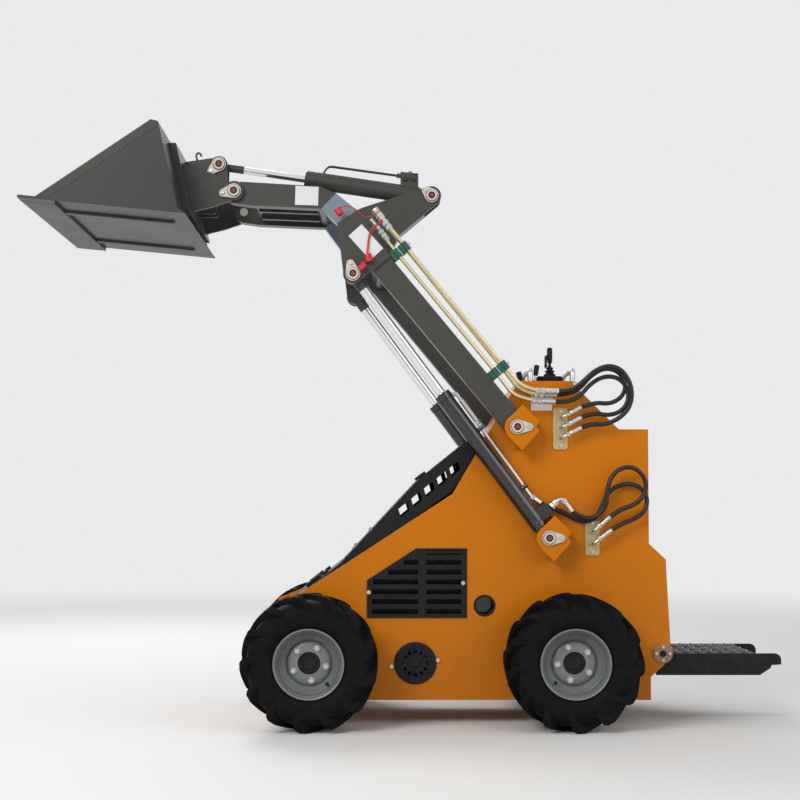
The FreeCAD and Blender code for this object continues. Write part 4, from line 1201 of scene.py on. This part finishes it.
def drawRails(build):
    top = controlShape["top"]
    for x, half in controlShape["rails"]:
        high = controlShape["railTop"]
        line = rounded([(x, -half, top), (x, -half, high), (x, half, high), (x, half, top)], 26.0, 8)
        tubeAlong(build, line, controlShape["railRadius"], 24)
        for y in (-half, half):
            turned(build, (x, y, top), (x, y, top + 40), [(0, 15), (2, 16), (5, 16), (6.5, 11)], 28)


drawPiece("grab_rails", "steel", "chassis", drawRails, smooth=50)


def drawLevers(build):
    for foot, low, high, radius in (
        ((448, -130, 1186), (449, -130, 1214), (454, -130, 1252), 9.0),
        ((399, -130, 1186), (397, -130, 1196), (388, -130, 1228), 9.5),
    ):
        first, last = Vector(low), Vector(high)
        length = (last - first).length
        grip = [
            (0, radius - 3), (1.5, radius - 1), (length * 0.3, radius), (length - 5, radius + 0.6),
            (length - 1.5, radius - 0.6), (length, radius - 4),
        ]
        turned(build, low, high, grip, 28)
        boot = [(0, radius + 5), (3, radius + 5), (7, radius - 1), (9, radius - 3)]
        turned(build, foot, (foot[0], foot[1], foot[2] + 20), boot, 28)


drawPiece("lever_grips", "black_plastic", "chassis", drawLevers, smooth=40)


def drawStems(build):
    addRod(build, (448, -130, 1188), (449, -130, 1218), 4.0, 0.5, 18)
    addRod(build, (399, -130, 1188), (397, -130, 1200), 4.0, 0.5, 18)


drawPiece("lever_stems", "steel", "chassis", drawStems, smooth=40)
print("controls built")


# bare plates

barePlates = {
    # corners seen from the side, how far out the face lies that carries the plate, and the body
    "limb": ([(-395, 1799), (-315, 1796.5), (-313, 1861), (-393, 1865)], 232.0, "boom"),
    "neck": ([(-207.3, 1674.5), (-133.4, 1591.8), (-88.8, 1632.0), (-162.7, 1714.7)], 338.0, "boom"),
    "side": ([(421.5, 1084), (494, 1084), (494, 1141), (421.5, 1141)], plateFace, "chassis"),
}


def buildBarePlate(name, corners, outer, body):
    def drawPlate(build):
        addSlab(build, corners, -outer, -outer - 1.2)

    drawPiece("bare_plate_" + name, "plate_white", body, drawPlate, bevel=0.4)


for name, plate in barePlates.items():
    buildBarePlate(name, *plate)
print("plates built")


# rear platform: two skirts, a tread deck that slopes down behind, the hinge bar

platformShape = {
    "half": 200.0, "sheet": 5.0,
    "skirt": [
        (863, 164), (1225, 164), (1262, 188), (1267, 199), (1300, 201), (1300, 220), (1296, 230),
        (1288, 237), (1278, 240),
        (900, 240), (863, 268),
    ],
    "deck": [(915, 235), (1205, 235), (1259, 196), (1262, 201), (1209, 240), (915, 240)],
    "treadRows": 7, "treadHalf": 162.0, "treadPitch": 41.0, "treadFrom": 936.0, "treadCount": 7,
    "treadLean": 9.0,
    # half width, half length and height of a rib's foot and top
    "rib": ((3, 13, 239.8), (1.4, 11, 243.8)),
}


def drawPlatform(build):
    half, sheet, hinge = platformShape["half"], platformShape["sheet"], pins["platform"]
    inside = half - sheet + 0.5
    addSlab(build, platformShape["skirt"], -half, -half + sheet)
    addSlab(build, platformShape["skirt"], half - sheet, half)
    addSlab(build, platformShape["deck"], -inside, inside)
    addBox(build, 868, 918, -inside, inside, 222, 227)
    addBox(build, 914, 919, -inside, inside, 224, 238)
    for y0, y1 in ((-half, -half + 32), (half - 32, half)):
        spinAround(build, [(12.6, y0), (20.0, y0), (20.0, y1), (12.6, y1)], hinge, 48)
    addRod(build, flat(hinge, -half + 31), flat(hinge, half - 31), 20.0, 0.8, 48)


def drawTread(build):
    # short slanting ribs in rows, each row leaning against the next
    rows, halfWidth = platformShape["treadRows"], platformShape["treadHalf"]
    for row in range(rows):
        y = -halfWidth + 2 * halfWidth * row / (rows - 1)
        lean = platformShape["treadLean"] * (1 if row % 2 else -1)
        for k in range(platformShape["treadCount"]):
            x = platformShape["treadFrom"] + platformShape["treadPitch"] * (k + 0.25 * (row % 2))
            rings = []
            for half, reach, z in platformShape["rib"]:
                near, far = y - reach, y + reach
                rings.append([
                    (x - half, near, z), (x + half, near, z), (x + half + lean, far, z),
                    (x - half + lean, far, z),
                ])
            loftRings(build, rings)


platformBody = nodes["platform"]["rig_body"]
drawPiece("platform_skin", "black_plastic", platformBody, drawPlatform, bevel=1.0, replaced="platform")
drawPiece("platform_tread", "black_paint", platformBody, drawTread, smooth=20)
print("platform built")


# bucket: the shell, a rim band on each side plate, and what stands on the attachment

bucketRim = [(-1239.5, 1776.3), (-1194.4, 1771.6), (-832.9, 2012.7), (-835.2, 2023.8), (-859, 2029.6)]
bucketBody = nodes["bucket"]["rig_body"]
stripShape = {
    # X, and the distance from the bucket's floor, at the corners of a wear strip's end
    "corners": ((-892, 0.5), (-798, 0.5), (-806, -9), (-893, -9)), "starts": (-330, 290), "width": 40,
    "floor": (-1298.0, 1775.0), "fall": 0.0973,
}
hookLine = [
    (-728, -250, 1918), (-730, -250, 1940), (-736, -250, 1966), (-731, -250, 1975), (-722, -250, 1974),
    (-717, -250, 1963),
]


def buildBucket():
    build = copySolid("bucket")
    widest = max(v.co.y for v in build.verts)
    # the side plates step in, so that the rim bands lie outermost
    for v in build.verts:
        if abs(v.co.y) > widest - 0.0001:
            v.co.y = math.copysign(widest - 0.0014, v.co.y)
    finishPiece("bucket_skin", build, "bucket_paint", bucketBody, bevel=1.0, smooth=32.0, replaced="bucket")

    def drawRim(build):
        for side in sideNames:
            face = side * widest * 1000
            addSlab(build, bucketRim, face, face - side * 1.9)

    drawPiece("bucket_rim_bands", "bucket_rim", bucketBody, drawRim, bevel=0.5)


def drawStripEnds(build):
    # the wear strips run on to near the heel, with sloped ends
    x0, z0 = stripShape["floor"]
    outline = [(x, z0 - stripShape["fall"] * (x - x0) + up) for x, up in stripShape["corners"]]
    for y in stripShape["starts"]:
        addSlab(build, outline, y, y + stripShape["width"])


def drawHook(build):
    tubeAlong(build, rounded(hookLine, 5), 3.6, 12)


buildBucket()
drawPiece("wear_strip_ends", "worn_steel", bucketBody, drawStripEnds, bevel=1.2)
drawPiece("coupling_lever", "worn_steel", nodes["attachment"]["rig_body"], drawHook, smooth=60)
print("bucket built")


# small fittings on the hood: blocks at the nose, a catch, bolts along the edge

hoodRise = [(-372, 452), (-238, 556), (28, 842), (190, 972)]


def onHood(x, rise):
    # a place on the hood's upper line, and above it
    for start, end in zip(hoodRise, hoodRise[1:]):
        if x <= end[0]:
            way = wayTo(start, end)
            return beside(start, way, (x - start[0]) / way[0], -rise)


def drawHoodBlocks(build):
    for x0, x1, rise, y0, y1 in (
        (-352, -304, 14, 120, 185), (-298, -280, 11, 135, 170), (34, 60, 10, 196, 232),
    ):
        outline = [onHood(x0, -1.5), onHood(x0, rise), onHood(x1, rise), onHood(x1, -1.5)]
        addSlab(build, outline, -y1, -y0)
        addSlab(build, outline, y0, y1)


def drawHoodBolts(build):
    for x in (-190, -135):
        for y in (-226, 226):
            addRod(build, flat(onHood(x, -1), y), flat(onHood(x, 2), y), 9.0, 0.5, 20)
            addNut(build, flat(onHood(x, 1.5), y), flat(onHood(x, 6.5), y), 6.4)


hoodBody = nodes["hood"]["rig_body"]
drawPiece("hood_blocks", "black_plastic", hoodBody, drawHoodBlocks, bevel=1.6)
drawPiece("hood_bolts", "steel", hoodBody, drawHoodBolts, smooth=32)
print("hood fittings built")


# camera, floor and light

view = {
    "x": -0.100, "z": 0.775, "near": -0.520, "distance": 5.520, "focalPixels": 1674.0, "pixels": 800.0,
    "sensor": 36.0, "shift": (0.025, 0.125), "far": 100.0,
}
studio = {
    # place, power and size of each lamp
    "lamps": {
        "keyLamp": ((-3.4, -5.6, 4.4), 330.0, 3.2), "fillLamp": ((4.6, -4.2, 2.6), 110.0, 4.0),
        "rimLamp": ((-2.0, 4.2, 4.2), 170.0, 3.0),
    },
    "target": (0, 0, 0.8), "worldStrength": 0.5, "seenStrength": 0.84, "surroundColor": (0.97, 0.975, 1.0, 1),
    "floorColor": (0.72, 0.71, 0.69, 1), "floorRoughness": 0.75, "floorReach": 60.0, "fadeFrom": 2.6,
    "fadeTo": 9.0,
}


def buildCamera():
    data = bpy.data.cameras.new("camera")
    data.sensor_width = view["sensor"]
    data.lens = view["focalPixels"] / view["pixels"] * view["sensor"]
    data.shift_x, data.shift_y = view["shift"]
    data.clip_end = view["far"]
    camera = bpy.data.objects.new("camera", data)
    camera.location = (view["x"], view["near"] - view["distance"], view["z"])
    camera.rotation_euler = (math.radians(90), 0, 0)
    bpy.context.scene.collection.objects.link(camera)
    bpy.context.scene.camera = camera


def addLamp(name, place, power, size):
    data = bpy.data.lights.new(name, "AREA")
    data.energy = power
    data.size = size
    lamp = bpy.data.objects.new(name, data)
    lamp.location = place
    lamp.rotation_euler = (Vector(studio["target"]) - Vector(place)).to_track_quat("-Z", "Y").to_euler()
    bpy.context.scene.collection.objects.link(lamp)


def seenDirectly(tree, x):
    # 1 where the camera sees it, straight or in a mirror
    path = addNode(tree, "ShaderNodeLightPath", (x, 0), {})
    rays = {0: path["Is Camera Ray"], 1: path["Is Glossy Ray"]}
    return addNode(tree, "ShaderNodeMath", (x + 200, 0), rays, operation="MAXIMUM")[0]


def buildWorld():
    world = bpy.data.worlds.new("studio")
    bpy.context.scene.world = world
    world.use_nodes = True
    tree = world.node_tree
    strength = addNode(tree, "ShaderNodeMapRange", (-200, 0), {
        "To Min": studio["worldStrength"], "To Max": studio["seenStrength"],
        "Value": seenDirectly(tree, -600),
    })["Result"]
    fillInputs(tree, tree.nodes["Background"], {"Strength": strength, "Color": studio["surroundColor"]})


def buildFloor():
    mesh = bpy.data.meshes.new("floor")
    build = bmesh.new()
    bmesh.ops.create_grid(build, x_segments=8, y_segments=8, size=studio["floorReach"])
    build.to_mesh(mesh)
    build.free()
    floor = bpy.data.objects.new("floor", mesh)
    bpy.context.scene.collection.objects.link(floor)
    material = bpy.data.materials.new("floorPaint")
    material.use_nodes = True
    tree = material.node_tree
    shader = tree.nodes["Principled BSDF"]
    fillInputs(tree, shader, {"Base Color": studio["floorColor"], "Roughness": studio["floorRoughness"]})
    # far off, the floor fades into the pale surroundings
    place = addNode(tree, "ShaderNodeTexCoord", (-900, 300), {})["Object"]
    away = addNode(tree, "ShaderNodeVectorMath", (-700, 300), {0: place}, operation="LENGTH")["Value"]
    fade = addNode(
        tree, "ShaderNodeMapRange", (-500, 300),
        {"From Min": studio["fadeFrom"], "From Max": studio["fadeTo"], "Value": away},
        interpolation_type="SMOOTHSTEP",
    )["Result"]
    share = addNode(
        tree, "ShaderNodeMath", (-300, 200), {0: fade, 1: seenDirectly(tree, -900)}, operation="MULTIPLY",
    )[0]
    glow = addNode(tree, "ShaderNodeEmission", (-300, -200), {
        "Color": studio["surroundColor"], "Strength": studio["seenStrength"],
    })[0]
    blend = addNode(tree, "ShaderNodeMixShader", (0, 200), {0: share, 1: shader.outputs[0], 2: glow})[0]
    fillInputs(tree, tree.nodes["Material Output"], {"Surface": blend})
    mesh.materials.append(material)


buildCamera()
for name, lamp in studio["lamps"].items():
    addLamp(name, *lamp)
buildWorld()
buildFloor()
print("camera and studio in place")

bpy.context.scene.view_settings.view_transform = "Standard"

slotOf = {s["node"]: s["material_slot"] for s in frame["record"]["subparts"]}
for name, node in nodes.items():
    node.data.materials.clear()
    node.data.materials.append(materials[slotOf[name]])
